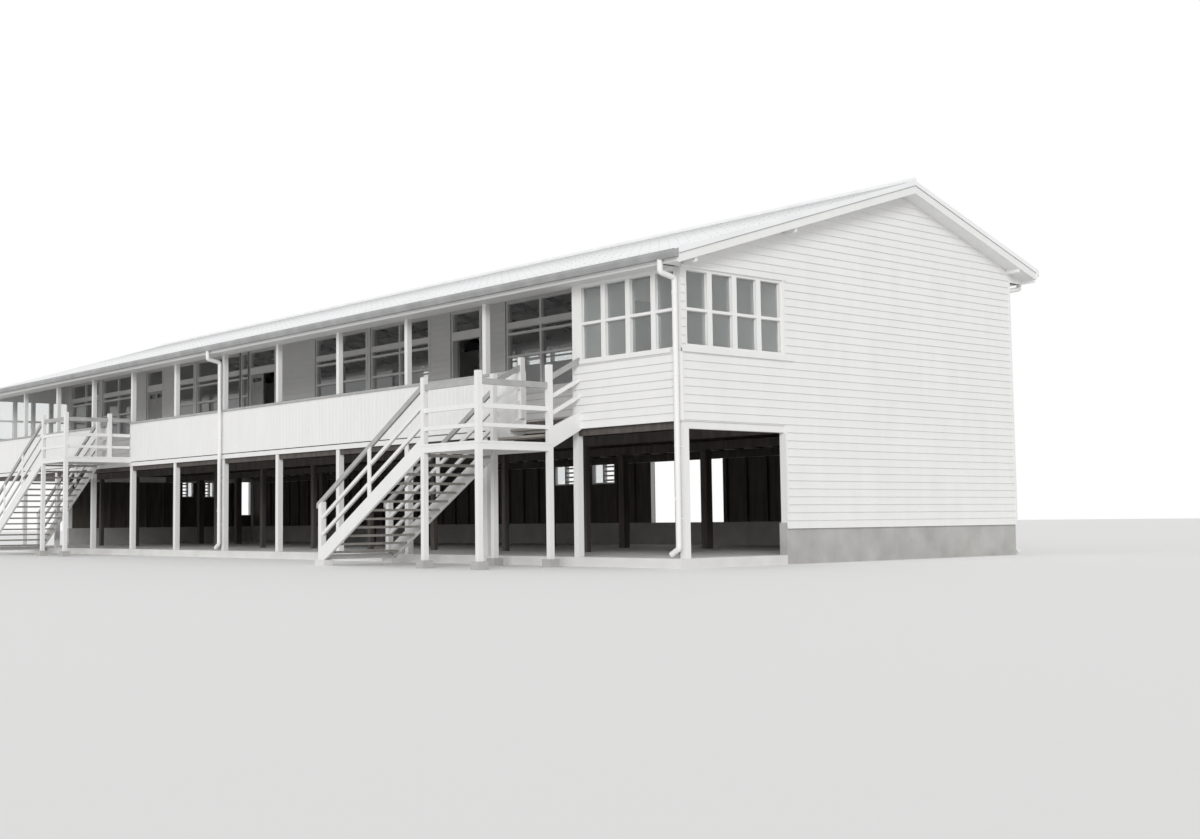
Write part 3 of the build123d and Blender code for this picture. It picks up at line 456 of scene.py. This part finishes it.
def stopCorners():
    verts, faces = [], []
    wide, proud = cornerStop["wide"], cornerStop["proud"]
    for side in (1, -1):
        lowX, highX = sorted((side * gableX, side * (gableX + proud)))
        lip = cornerStop["frontLip"]
        addBox(verts, faces, (lowX, frontY - lip, gableFoot), (highX, frontY + wide, strip["low"]))
        addBox(verts, faces, (lowX, classY - lip, baseTop + cornerStop["aboveBase"]),
               (highX, classY + wide, gableFoot))
        addBox(verts, faces, (lowX, rearY - wide, baseTop), (highX, rearY + proud, rearTop))
        stripEnd = frontY + strip["end"]
        addBox(verts, faces, (lowX, stripEnd, strip["low"] + stripBead["footUp"]),
               (highX, stripEnd + strip["coverWide"], strip["high"]))
        headX = gableX + stripBead["headProud"] if side > 0 else lowX    # a plain face on the far gable
        addBox(verts, faces, (lowX, frontY + stripBead["headFrom"], strip["high"]),
               (headX, stripEnd + stripBead["headPast"], strip["high"] + stripBead["headHigh"]))
    for x in (gableX - wide, roomLow.x):
        addBox(verts, faces, (x, frontY - proud, gableFoot), (x + wide, frontY, roomHigh.z))
    joinMesh("corner_stops", verts, faces, "white_timber")


stopCorners()
print("trim fitted")

# balustrade of upright boards with a small vee at each joint
uprightBoard = {"cover": 0.133, "vee": 0.006, "deep": 0.004, "endDigits": 4}


def boardBalustrade():
    verts, faces = [], []
    face, back = balustradeLow.y, balustradeHigh.y
    vee, inner = uprightBoard["vee"], face + uprightBoard["deep"]
    mesh = frame["nodes"]["balustrade_boards"].data
    ends = sorted({round(v.co.x, uprightBoard["endDigits"]) for v in mesh.vertices})
    for x0, x1 in zip(ends[::2], ends[1::2]):
        count = max(1, round((x1 - x0) / uprightBoard["cover"]))
        wide = (x1 - x0) / count
        for i in range(count):
            a, b = x0 + i * wide, x0 + (i + 1) * wide
            outline = [(a, inner), (a + vee, face), (b - vee, face), (b, inner), (b, back), (a, back)]
            addPrism(verts, faces, outline, balustradeLow.z, balustradeHigh.z, "z")
    joinMesh("balustrade_vee_boards", verts, faces, "white_timber", ["balustrade_boards"])


boardBalustrade()
print("balustrade boarded")

# boarded floor and lining of the verandah
verandahBoard = {"floor": 0.105, "floorThick": 0.025, "floorFrom": 0.020, "ceiling": 0.133,
                 "ceilingThick": 0.008, "ceilingFrom": 0.120, "ceilingApex": 6.5085, "gap": 0.004}


def boardVerandah():
    verts, faces = [], []
    count = round(2 * innerX / verandahBoard["floor"])
    wide = 2 * innerX / count
    for i in range(count):
        x = -innerX + i * wide
        addBox(verts, faces, (x, frontY + verandahBoard["floorFrom"], floorTop - verandahBoard["floorThick"]),
               (x + wide - verandahBoard["gap"], classY, floorTop))
    joinMesh("verandah_floorboards", verts, faces, "floor_timber", ["verandah_floor"])
    verts, faces = [], []
    start = frontY + verandahBoard["ceilingFrom"]
    count = round((classY - start) / verandahBoard["ceiling"])
    wide = (classY - start) / count
    apex = verandahBoard["ceilingApex"]
    under = apex - verandahBoard["ceilingThick"]
    for i in range(count):
        a, b = start + i * wide, start + (i + 1) * wide - verandahBoard["gap"]
        addPrism(verts, faces, slopeBand(a, b, under, apex), -innerX, innerX, "x")
    joinMesh("verandah_ceiling_boards", verts, faces, "white_timber", ["verandah_ceiling"])


boardVerandah()

# dark boards and studs on the inner faces of the undercroft walls: a near-black sheet that paints the shade
# inside the undercroft
lining = {"thick": 0.004, "foot": 0.67, "head": 2.12, "front": 2.47, "back": 8.72, "rearIn": 0.01,
          "studEvery": 0.6096, "studWide": 0.045, "studDeep": 0.07}


def lineUndercroft():
    verts, faces = [], []
    rearEnd = innerX - lining["rearIn"]
    foot, head, half = lining["foot"], lining["head"], lining["studWide"] / 2
    face = -wallThick
    board = face - lining["thick"]
    walls = [
        (onRearWall, -rearEnd, rearEnd, rearHoles),
        (onNearGable, lining["front"], lining["back"], []),
        (onFarGable, lining["front"], lining["back"], farHoles),
    ]
    for place, u0, u1, holes in walls:
        for a, b, z0, z1 in sheetParts(u0, u1, foot, head, holes):
            addBlock(verts, faces, place, a, b, face, board, z0, z1)
        for i in range(1, int((u1 - u0) / lining["studEvery"]) + 1):
            u = u0 + i * lining["studEvery"]
            if any(hole[0] - half < u < hole[1] + half and hole[2] < head for hole in holes):
                continue
            addBlock(verts, faces, place, u - half, u + half, board, face - lining["studDeep"], foot, head)
    joinMesh("undercroft_shade_lining", verts, faces, "dark_timber")


lineUndercroft()

innerPost = {"front": 0.115, "middle": 0.175, "frontLine": 2.410, "middleLine": 5.645, "foot": 0.150,
             "head": 2.125, "chamfer": 0.012}


def standInnerPosts():
    verts, faces = [], []
    for row in ("front", "middle"):
        half = innerPost[row] / 2
        flat = half - innerPost["chamfer"]
        ring = [(flat, half), (half, flat), (half, -flat), (flat, -half), (-flat, -half), (-half, -flat),
                (-half, flat), (-flat, half)]
        y = frontY + innerPost[row + "Line"]
        for n in range(1, bayCount):
            outline = [(postLine - n * bay + a, y + b) for a, b in ring]
            addPrism(verts, faces, outline, innerPost["foot"], innerPost["head"], "z")
    # the posts take the near-black dark timber, which is partly painted shade
    joinMesh("undercroft_posts", verts, faces, "dark_timber", ["inner_posts"])


standInnerPosts()

# glazing beads round every pane
bead = {"wide": 0.005, "front": 0.047, "back": 0.057, "edge": 0.055, "pairFrom": 0.6}
bankRows = [(3.355, 3.985), (4.030, 4.445), (4.487, 4.572), (4.700, 5.080)]
rearRows = [(4.880, 5.020), (5.050, 5.285)]


def addBeads(verts, faces, place, u0, u1, z0, z1):
    wide = bead["wide"]
    for a, b, low, high in ((u0, u0 + wide, z0, z1), (u1 - wide, u1, z0, z1),
                            (u0 + wide, u1 - wide, z0, z0 + wide), (u0 + wide, u1 - wide, z1 - wide, z1)):
        addBlock(verts, faces, place, a, b, -bead["front"], -bead["back"], low, high)


def bankPanes(a, b, rows):
    x0, x1 = spanX(a, b)
    units = 1 if b - a < bead["pairFrom"] else 2
    wide = (x1 - x0 - (units + 1) * bead["edge"]) / units
    lefts = [x0 + bead["edge"] + i * (wide + bead["edge"]) for i in range(units)]
    return [(left, left + wide, z0, z1) for left in lefts for z0, z1 in rows]


def beadWindows():
    verts, faces = [], []
    banks = [(onClassWall, windowBays, bankRows), (onClassWall, doorBays, bankRows[-1:]),
             (onRearWall, rearBays, rearRows)]
    for place, bays, rows in banks:
        for a, b in bays:
            for pane in bankPanes(a, b, rows):
                addBeads(verts, faces, place, *pane)
    panes, mullion = strip["panes"], strip["mullion"]
    glazed = strip["end"] - strip["start"] - strip["rearStile"] - strip["frontStile"]
    wide = (glazed - (panes - 1) * mullion) / panes
    for i in range(panes):
        start = strip["start"] + strip["frontStile"] + i * (wide + mullion)
        left = gableX - strip["roomFrom"] + i * (strip["roomPane"] + mullion)
        right = min(left + strip["roomPane"], innerX - strip["roomStop"])
        for z0, z1 in strip["rows"]:
            addBeads(verts, faces, onNearGable, start, start + wide, z0, z1)
            addBeads(verts, faces, onFarGable, start, start + wide, z0, z1)
            addBeads(verts, faces, onRoomWall, left, right, z0, z1)
    joinMesh("glazing_beads", verts, faces, "white_timber")


beadWindows()

# stiles, rails, boards and knobs of the doors
door = {"edge": 0.055, "gap": 0.004, "set": 0.040, "thick": 0.042, "stile": 0.090, "proud": 0.006,
        "rails": [(2.460, 2.640), (3.330, 3.450), (4.250, 4.320), (4.430, 4.515)], "board": 0.09,
        "boardGap": 0.002, "boardProud": 0.003, "knobHeight": 3.39, "knobRadius": 0.022, "knobLong": 0.030,
        "knobOut": 0.035, "neckRadius": 0.010, "neckLong": 0.06, "farTurnDeg": 130.0, "nearTurnDeg": 90.0}


def addLeaf(store, place, wide, first, knobAt):
    verts, faces, metalVerts, metalFaces = store
    stile, rails = door["stile"], door["rails"]
    back = first + door["thick"]
    front, rear = first - door["proud"], back + door["proud"]
    for a0, a1 in ((0.0, stile), (wide - stile, wide)):
        addBlock(verts, faces, place, a0, a1, front, rear, rails[0][0], rails[-1][1])
    for z0, z1 in rails:
        addBlock(verts, faces, place, stile, wide - stile, front, rear, z0, z1)
    count = max(1, round((wide - 2 * stile) / door["board"]))
    boardWide, gap = (wide - 2 * stile) / count, door["boardGap"]
    front, rear = first - door["boardProud"], back + door["boardProud"]
    for i in range(count):
        a0, a1 = stile + i * boardWide + gap, stile + (i + 1) * boardWide - gap
        for lower, upper in zip(rails[:2], rails[1:3]):
            addBlock(verts, faces, place, a0, a1, front, rear, lower[1], upper[0])
    along = stile / 2 if knobAt == "start" else wide - stile / 2
    heart = Vector(place(along, (first + back) / 2, door["knobHeight"]))
    for t in (first - door["knobOut"], back + door["knobOut"]):
        knob = Vector(place(along, t, door["knobHeight"]))
        inward = heart - knob
        addRing(metalVerts, metalFaces, knob, inward, door["knobRadius"], door["knobLong"])
        addRing(metalVerts, metalFaces, knob + inward / 2, inward, door["neckRadius"], door["neckLong"])


def dressDoors():
    store = ([], [], [], [])
    hingeY = classY + wallThick
    for i, (a, b) in enumerate(doorBays):
        x0, x1 = spanX(a, b)
        middle = (x0 + x1) / 2
        wide = middle - door["gap"] / 2 - x0 - door["edge"]
        closed, swung = [], []
        if i == 0:
            swung.append((x0 + door["edge"], door["farTurnDeg"], 0.0))
        else:
            closed.append((x0 + door["edge"], "end"))
        if i < 2:
            swung.append((x1 - door["edge"], door["nearTurnDeg"], -door["thick"]))
        else:
            closed.append((middle + door["gap"] / 2, "start"))
        for left, knobAt in closed:
            addLeaf(store, lambda u, t, z, x=left: (x + u, classY + door["set"] + t, z), wide, 0.0, knobAt)
        for x, turn, first in swung:
            c, s = math.cos(math.radians(turn)), math.sin(math.radians(turn))
            addLeaf(store, lambda u, t, z, x=x, c=c, s=s: (x + u * c + t * s, hingeY + u * s - t * c, z),
                    wide, first, "end")
    verts, faces, metalVerts, metalFaces = store
    joinMesh("door_boards", verts, faces, "pale_timber")
    joinMesh("door_knobs", metalVerts, metalFaces, "gutter_metal")


dressDoors()
print("windows and doors dressed")

# outside stairs: each long flight stands on pads, the decks and the short flight keep their own solids
flight = {"stringerUp": 0.094, "stringerDown": 0.188, "plank": 0.050, "going": 0.252, "lap": 0.020,
          "thick": 0.038, "newelWide": 0.102, "newelFrom": 3.046, "newelRisers": 13, "railUp": 0.985,
          "railDeep": 0.095, "railWide": 0.045, "railPast": 0.103, "midDeep": 0.070,
          "midDrops": (0.323, 0.623), "post": 0.090, "riserBoard": 0.090, "riserFrom": 0.020,
          "riserTo": 0.045, "longest": 5.2}
cornerDigits = 5                         # corners that agree to this many digits are one
stairPad = {"high": 0.100, "outer": 0.045, "inner": 0.160, "half": 0.095}
deckStrip = {"wide": 0.008, "deep": 0.032, "proud": 0.001}
flights = [
    {"top": gableX - 3.855, "level": 1.9947, "risers": 13, "front": frontY - 2.132, "back": frontY - 0.608,
     "balusters": (0.5,), "deckEnd": gableX - 2.317, "deckBack": frontY - 0.608},
    {"top": gableX - 21.045, "level": 2.455, "risers": 16, "front": frontY - 1.720, "back": frontY - 0.205,
     "balusters": (0.34, 0.67), "deckEnd": gableX - 19.525, "deckBack": frontY - 0.010},
]
# added mid rail of the short flight: its far side stops at the post, its near side at the verandah
upperFlight = {"drop": 0.600, "slope": 0.50473, "railTop": 3.415, "deckBack": 0.608,
               "sides": ((3.810, 0.090), (2.362, 0.0))}
stairPieces = {
    "stringers": ("stair_stringers", "white_timber"),
    "treads": ("stair_treads", "floor_timber"),
    "handrails": ("stair_handrails", "pale_timber"),
    "mid_rails": ("stair_mid_rails", "white_timber"),
    "stair_posts": ("stair_newels", "white_timber"),
}


def inLongFlight(face):
    middle = face.calc_center_median()
    for run in flights:
        atTop = abs(middle.x - run["top"]) < flush and face.normal.x < 0     # the deck's own side
        if run["top"] - flight["longest"] < middle.x < run["top"] + flush and not atTop:
            return True
    return False


def keptSolids(node):
    # the faces of a node that belong to neither of the two long flights
    work = bmesh.new()
    work.from_mesh(frame["nodes"][node].data)
    verts, faces, places = [], [], {}
    for face in work.faces:
        if inLongFlight(face):
            continue
        corners = []
        for vert in face.verts:
            key = tuple(round(c, cornerDigits) for c in vert.co)
            if key not in places:
                places[key] = len(verts)
                verts.append(tuple(vert.co))
            corners.append(places[key])
        if len(set(corners)) == len(corners):
            faces.append(corners)
    work.free()
    return verts, faces


def buildFlight(run, store):
    top, level, risers, pad = run["top"], run["level"], run["risers"], stairPad["high"]
    rise = (level - pad) / risers
    fall = rise / flight["going"]
    reach = flight["newelFrom"] + (risers - flight["newelRisers"]) * flight["going"]

    def onLine(r, up):
        return top - r, level + up - fall * r

    def addRail(key, end, low, high, y, half):
        addPrism(*store[key], [onLine(0, low), onLine(0, high), onLine(end, high), onLine(end, low)],
                 y - half, y + half)

    up, down, plank = flight["stringerUp"], flight["stringerDown"], flight["plank"]
    stringerFoot = (level - down - pad) / fall
    outline = [onLine(0, -down), (top - stringerFoot, pad), (top - reach, pad), onLine(reach, up),
               onLine(0, up)]
    front, back = run["front"], run["back"]
    for y in (front, back - plank):
        addPrism(*store["stringers"], outline, y, y + plank)
    for i in range(1, risers):
        nose = top - (risers - 1 - i) * flight["going"]
        z = pad + i * rise
        addBox(*store["treads"], (nose - flight["going"] - flight["lap"], front + plank, z - flight["thick"]),
               (nose, back - plank, z))
    addBox(*store["stringers"], (top - reach + flight["riserFrom"], front + plank, pad),
           (top - reach + flight["riserTo"], back - plank, pad + flight["riserBoard"]))
    railUnder = flight["railUp"] - flight["railDeep"]
    outer = reach + flight["newelWide"]
    postHalf, newelHalf, railHalf = flight["post"] / 2, flight["newelWide"] / 2, flight["railWide"] / 2
    for y in (front + postHalf, back - postHalf):
        addPrism(*store["stair_posts"], [(top - outer, pad), (top - reach, pad), onLine(reach, railUnder),
                                         onLine(outer, railUnder)], y - newelHalf, y + newelHalf)
        addRail("handrails", outer + flight["railPast"], railUnder, flight["railUp"], y, railHalf)
        for drop in flight["midDrops"]:
            midTop = flight["railUp"] - drop
            addRail("mid_rails", reach, midTop - flight["midDeep"], midTop, y, railHalf)
        for share in run["balusters"]:
            r0, r1 = reach * share - postHalf, reach * share + postHalf
            addPrism(*store["stair_posts"], [onLine(r0, up), onLine(r1, up), onLine(r1, railUnder),
                                             onLine(r0, railUnder)], y - postHalf, y - railHalf)
        addBox(*store["pads"], (top - outer - stairPad["outer"], y - stairPad["half"], 0),
               (top - reach + stairPad["inner"], y + stairPad["half"], pad))


def buildStairs():
    store = {node: keptSolids(node) for node in stairPieces}
    store["pads"] = ([], [])
    for run in flights:
        buildFlight(run, store)
    half = flight["railWide"] / 2
    high = upperFlight["railTop"] - upperFlight["drop"]
    for fromGable, stop in upperFlight["sides"]:
        x = gableX - fromGable
        fall = upperFlight["slope"] * (upperFlight["deckBack"] - stop)
        y0, y1 = frontY - upperFlight["deckBack"], frontY - stop
        addPrism(*store["mid_rails"], [(y0, high - flight["midDeep"] - fall), (y1, high - flight["midDeep"]),
                                       (y1, high), (y0, high - fall)], x - half, x + half, "x")
    for node, (name, slotName) in stairPieces.items():
        joinMesh(name, *store[node], slotName, [node])
    # the pads take the slab's lighter copy of the concrete, which is painted light
    joinMesh("stair_pads", *store["pads"], "concrete", finish=slabPaintedLightFinish)
    verts, faces = [], []
    wide = deckStrip["wide"]
    for run in flights:
        x0, x1, y0, y1 = run["top"], run["deckEnd"], run["front"], run["deckBack"]
        low, high = run["level"] - deckStrip["deep"], run["level"] + deckStrip["proud"]
        addBox(verts, faces, (x0, y0 - wide, low), (x1, y0, high))
        addBox(verts, faces, (x1, y0, low), (x1 + wide, y1, high))
    joinMesh("deck_edge_strips", verts, faces, "white_timber")


buildStairs()
print("stairs built")

# corrugated roof sheets over the plain roof plates
corrugation = {"pitch": 0.0762, "rise": 0.0085, "steps": 8, "sheetThick": 0.0012, "plateThick": 0.020,
               "ridgeGap": 0.01}


def corrugatedSlope(name, node):
    low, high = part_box(node)
    toRidge = 1 if (low.y + high.y) / 2 < ridgeY else -1
    edgeY = low.y if toRidge > 0 else high.y
    slope = math.atan(roofPitch)
    normal = Vector((0, -math.sin(slope) * toRidge, math.cos(slope)))
    middle = normal * (-corrugation["plateThick"] * math.cos(slope) / 2)
    gap = corrugation["ridgeGap"]
    edge = Vector((0, edgeY, high.z - abs(ridgeY - edgeY) * roofPitch)) + middle
    ridge = Vector((0, ridgeY - gap * toRidge, high.z - gap * roofPitch)) + middle
    steps = int((high.x - low.x) / corrugation["pitch"] * corrugation["steps"])
    verts, faces = [], []
    for i in range(steps + 1):
        x = low.x + (high.x - low.x) * i / steps
        lift = normal * corrugation["rise"] * math.cos(2 * math.pi * x / corrugation["pitch"])
        for point in (edge, ridge):
            verts.append((x, point.y + lift.y, point.z + lift.z))
    for i in range(steps):
        quad = [2 * i, 2 * i + 2, 2 * i + 3, 2 * i + 1]
        faces.append(quad if toRidge > 0 else quad[::-1])
    piece = joinMesh(name, verts, faces, "roof_metal", [node])
    for face in piece.data.polygons:
        face.use_smooth = True
    thick = piece.modifiers.new("sheetThickness", "SOLIDIFY")
    thick.thickness = corrugation["sheetThick"]
    thick.offset = 0


corrugatedSlope("roof_iron_front", "roof_front")
corrugatedSlope("roof_iron_rear", "roof_rear")
print("roof sheeted")

# screws through the sheets, by their distance back from the verandah front
roofScrew = {"lines": (-0.150, 0.750, 1.650, 2.550, 3.450, 4.350, 5.400, 5.860, 6.700, 7.550, 8.400, 9.200),
             "every": 3, "radius": 0.008, "high": 0.008, "lift": 0.001, "sides": 6}
# laps in the capping along the ridge and down the barges, and a dark strip under each barge cap's lower edge
# that paints the shadow line below it
capping = {"verge": 0.310, "lapEvery": 2.4, "lapWide": 0.025, "lapProud": 0.009, "rollRadius": 0.034,
           "rollProud": 0.003, "rollSides": 20, "ridgeTop": 6.7305, "wingFrom": 0.030, "wingTo": 0.190,
           "capFootApex": 6.5865, "shadowLineIn": 0.001, "shadowLineOut": 0.009, "shadowLineDown": 0.009, "shadowLineUp": 0.003,
           "frontEnd": 0.330, "rearEnd": 0.480}
bargeLap = {"out": 0.005, "proud": 0.003, "each": 4, "every": 1.15, "shift": 0.4, "frontEnd": 0.3,
            "rearEnd": 0.4, "tipApex": 6.4475, "tipDeep": 0.05}
vergeX = gableX + capping["verge"]


def lapPlaces(endX):
    # evenly spaced joints along the building
    count = int(2 * endX / capping["lapEvery"])
    return [-endX + i * 2 * endX / (count + 1) for i in range(1, count + 1)]


def driveScrews():
    verts, faces = [], []
    step = corrugation["pitch"] * roofScrew["every"]
    count = int(vergeX / step)
    for line in roofScrew["lines"]:
        y = frontY + line
        normal = (0, -roofPitch if y < ridgeY else roofPitch, 1)
        for i in range(-count, count + 1):
            addRing(verts, faces, (i * step, y, slopeZ(sheetApex, y) + roofScrew["lift"]), normal,
                    roofScrew["radius"], roofScrew["high"], roofScrew["sides"])
    joinMesh("roof_screws", verts, faces, "gutter_metal")


def capRoof():
    verts, faces = [], []
    wide, radius = capping["lapWide"], capping["rollRadius"]
    for x in lapPlaces(vergeX):
        addRing(verts, faces, (x, ridgeY, capping["ridgeTop"] - radius), (1, 0, 0),
                radius + capping["rollProud"], wide, capping["rollSides"])
        for side in (-1, 1):
            y0, y1 = ridgeY + side * capping["wingFrom"], ridgeY + side * capping["wingTo"]
            addPrism(verts, faces, slopeBand(y0, y1, sheetApex, sheetApex + capping["lapProud"]),
                     x - wide / 2, x + wide / 2, "x")
    for side in (-1, 1):
        faceX = side * (vergeX + bargeLap["out"])
        low, high = sorted((faceX, faceX + side * bargeLap["proud"]))
        for i in range(-bargeLap["each"], bargeLap["each"] + 1):
            y = ridgeY + i * bargeLap["every"] + bargeLap["shift"]
            if frontY - bargeLap["frontEnd"] < y < rearY + bargeLap["rearEnd"]:
                addPrism(verts, faces, slopeBand(y, y + wide, capping["capFootApex"], sheetApex), low, high, "x")
    # the rear gutter's ends are covered by a pointed tip on each barge
    y0, y1 = rearY + capping["rearEnd"], gutterHigh.y
    tip = [(y0, slopeZ(bargeLap["tipApex"], y0)), (y1, slopeZ(sheetApex, y1) - bargeLap["tipDeep"]),
           (y1, slopeZ(sheetApex, y1)), (y0, slopeZ(sheetApex, y0))]
    for side in (-1, 1):
        low, high = sorted((side * vergeX, side * (vergeX + bargeLap["out"])))
        addPrism(verts, faces, tip, low, high, "x")
    joinMesh("capping_laps", verts, faces, "roof_metal")
    verts, faces = [], []
    # a strip of the darker gutter metal along each barge cap's lower edge: a painted shadow line
    for side in (-1, 1):
        low, high = sorted((side * (vergeX - capping["shadowLineIn"]), side * (vergeX + capping["shadowLineOut"])))
        for y0, y1 in ((frontY - capping["frontEnd"], ridgeY), (ridgeY, rearY + capping["rearEnd"])):
            addPrism(verts, faces, slopeBand(y0, y1, capping["capFootApex"] - capping["shadowLineDown"],
                                             capping["capFootApex"] + capping["shadowLineUp"]), low, high, "x")
    joinMesh("capping_shadow_lines", verts, faces, "gutter_metal")


gutterFitting = {"deep": 0.112, "wide": 0.112, "lip": 0.045, "slant": 0.025, "thin": 0.002, "lapHalf": 0.015,
                 "frontApex": 6.6565, "frontReach": 0.370, "frontDrop": 0.002, "beadIn": 0.006,
                 "beadDown": 0.004, "beadRadius": 0.007, "beadSides": 10, "footWide": 0.006,
                 "footHalf": 0.004}


def fitGutters():
    # laps in the gutters, a round bead along each lip and a fold along each foot
    verts, faces = [], []
    endX, thin = gutterHigh.x, gutterFitting["thin"]
    plateZ = slopeZ(gutterFitting["frontApex"], frontY - gutterFitting["frontReach"])
    frontTop = plateZ - gutterFitting["frontDrop"]
    for lip, sign, top in ((gutterLow.y, -1, frontTop), (gutterHigh.y, 1, gutterHigh.z)):
        foot = top - gutterFitting["deep"]
        bend = top - gutterFitting["lip"]
        low = lip - sign * gutterFitting["slant"]
        back = lip - sign * gutterFitting["wide"]
        outside, under = sign * thin, foot - thin
        outline = [(lip, top), (lip, bend), (low, foot), (back, foot), (back, under), (low + outside, under),
                   (lip + outside, bend - thin), (lip + outside, top)]
        for x in lapPlaces(endX):
            addPrism(verts, faces, outline, x - gutterFitting["lapHalf"], x + gutterFitting["lapHalf"], "x")
        beadAt = (0, lip - sign * gutterFitting["beadIn"], top - gutterFitting["beadDown"])
        addRing(verts, faces, beadAt, (1, 0, 0), gutterFitting["beadRadius"], 2 * endX,
                gutterFitting["beadSides"])
        y0, y1 = sorted((low, low + sign * gutterFitting["footWide"]))
        addBox(verts, faces, (-endX, y0, foot - gutterFitting["footHalf"]),
               (endX, y1, foot + gutterFitting["footHalf"]))
    joinMesh("gutter_laps", verts, faces, "gutter_metal")


# collars, straps and their lugs on the pipes
pipeFitting = {"radius": 0.045, "sides": 20, "collarRadius": 0.050, "collarHigh": 0.055,
               "collars": (1.05, 2.95, 4.20), "straps": (0.75, 1.85, 2.70, 3.15), "strapProud": 0.002,
               "strapHigh": 0.025, "lugHalf": 0.012, "frontOut": 0.072, "frontLug": 0.10, "rearOut": 0.047,
               "rearLug": 0.047, "frontShift": 0.008, "rearShift": 0.040}


def fitPipes():
    verts, faces = [], []
    middleLine = postLine - bayCount / 2 * bay
    frontShift, rearShift = pipeFitting["frontShift"], pipeFitting["rearShift"]
    frontPipes = (postLine + frontShift, middleLine + frontShift, -postLine - frontShift)
    rearPipes = (postLine - rearShift, middleLine, -postLine + rearShift)
    runs = [(x, frontY - pipeFitting["frontOut"], pipeFitting["frontLug"]) for x in frontPipes]
    runs += [(x, rearY + pipeFitting["rearOut"], -pipeFitting["rearLug"]) for x in rearPipes]
    along, sides, half = (0, 0, 1), pipeFitting["sides"], pipeFitting["lugHalf"]
    strapRadius = pipeFitting["radius"] + pipeFitting["strapProud"]
    for x, y, toWall in runs:
        for z in pipeFitting["collars"]:
            addRing(verts, faces, (x, y, z), along, pipeFitting["collarRadius"], pipeFitting["collarHigh"],
                    sides)
        y0, y1 = sorted((y, y + toWall))
        for z in pipeFitting["straps"]:
            addRing(verts, faces, (x, y, z), along, strapRadius, pipeFitting["strapHigh"], sides)
            addBox(verts, faces, (x - half, y0, z - half), (x + half, y1, z + half))
    joinMesh("pipe_fittings", verts, faces, "white_metal")


driveScrews()
capRoof()
fitGutters()
fitPipes()
print("roof and pipes fitted")

# floor, light and camera
studio = {"floorSize": 400.0, "floorColour": (0.86, 0.86, 0.855), "floorRoughness": 0.9, "sunPower": 1.70,
          "sunAngleDeg": 26.0, "sunFrom": (0.62, -0.70, 0.34), "worldPower": 0.64,
          "worldColour": (1.0, 1.0, 1.0), "backdropPower": 1.0, "backdropColour": (1, 1, 1)}
eye = {"lensMm": 44.21, "sensorMm": 36.0, "shiftX": 0.0419, "shiftY": -0.0063, "fromGable": 15.741,
       "fromVerandah": 15.945, "height": 0.745, "turnDeg": 49.7875, "liftDeg": 4.217, "rollDeg": -0.6353,
       "clipEnd": 1000}


def layFloor():
    half = studio["floorSize"] / 2
    mesh = bpy.data.meshes.new("studio_floor")
    corners = [(-half, -half, 0), (half, -half, 0), (half, half, 0), (-half, half, 0)]
    mesh.from_pydata(corners, [], [(0, 1, 2, 3)])
    floor = bpy.data.objects.new("studio_floor", mesh)
    bpy.context.scene.collection.objects.link(floor)
    material, _, shader = newFinish("studioFloor", studio["floorRoughness"])
    shader.inputs["Base Color"].default_value = (*studio["floorColour"], 1)
    floor.data.materials.append(material)


def setLight():
    world = bpy.data.worlds.new("studioWorld")
    bpy.context.scene.world = world
    world.use_nodes = True
    tree = world.node_tree
    plain = tree.nodes["Background"]
    plain.inputs["Color"].default_value = (*studio["worldColour"], 1)
    plain.inputs["Strength"].default_value = studio["worldPower"]
    # a white backdrop for the camera and for reflections, which doesn't light the building
    white = tree.nodes.new("ShaderNodeBackground")
    white.inputs["Color"].default_value = (*studio["backdropColour"], 1)
    white.inputs["Strength"].default_value = studio["backdropPower"]
    seen = tree.nodes.new("ShaderNodeLightPath")
    mix = tree.nodes.new("ShaderNodeMixShader")
    biggest = tree.nodes.new("ShaderNodeMath")
    biggest.operation = "MAXIMUM"
    tree.links.new(seen.outputs["Is Camera Ray"], biggest.inputs[0])
    tree.links.new(seen.outputs["Is Glossy Ray"], biggest.inputs[1])
    tree.links.new(biggest.outputs[0], mix.inputs[0])
    tree.links.new(plain.outputs[0], mix.inputs[1])
    tree.links.new(white.outputs[0], mix.inputs[2])
    tree.links.new(mix.outputs[0], tree.nodes["World Output"].inputs["Surface"])
    lamp = bpy.data.lights.new("studioSun", "SUN")
    lamp.energy = studio["sunPower"]
    lamp.angle = math.radians(studio["sunAngleDeg"])
    sun = bpy.data.objects.new("studioSun", lamp)
    bpy.context.scene.collection.objects.link(sun)
    sun.rotation_euler = Vector(studio["sunFrom"]).to_track_quat("Z", "Y").to_euler()


def placeEye():
    lens = bpy.data.cameras.new("viewer")
    lens.lens = eye["lensMm"]
    lens.sensor_width = eye["sensorMm"]
    lens.shift_x = eye["shiftX"]
    lens.shift_y = eye["shiftY"]
    lens.clip_end = eye["clipEnd"]
    viewer = bpy.data.objects.new("viewer", lens)
    bpy.context.scene.collection.objects.link(viewer)
    turn, lift, roll = (math.radians(eye[k]) for k in ("turnDeg", "liftDeg", "rollDeg"))
    ahead = Vector((-math.sin(turn) * math.cos(lift), math.cos(turn) * math.cos(lift), math.sin(lift)))
    right = Vector((math.cos(turn), math.sin(turn), 0))
    up = right.cross(ahead)
    across = right * math.cos(roll) + up * math.sin(roll)
    above = up * math.cos(roll) - right * math.sin(roll)
    turned = Matrix((across, above, -ahead)).transposed().to_4x4()
    spot = Vector((gableX + eye["fromGable"], frontY - eye["fromVerandah"], eye["height"]))
    viewer.matrix_world = Matrix.Translation(spot) @ turned
    bpy.context.scene.camera = viewer


layFloor()
setLight()
placeEye()
bpy.context.scene.view_settings.view_transform = "Standard"
print("light and camera set")
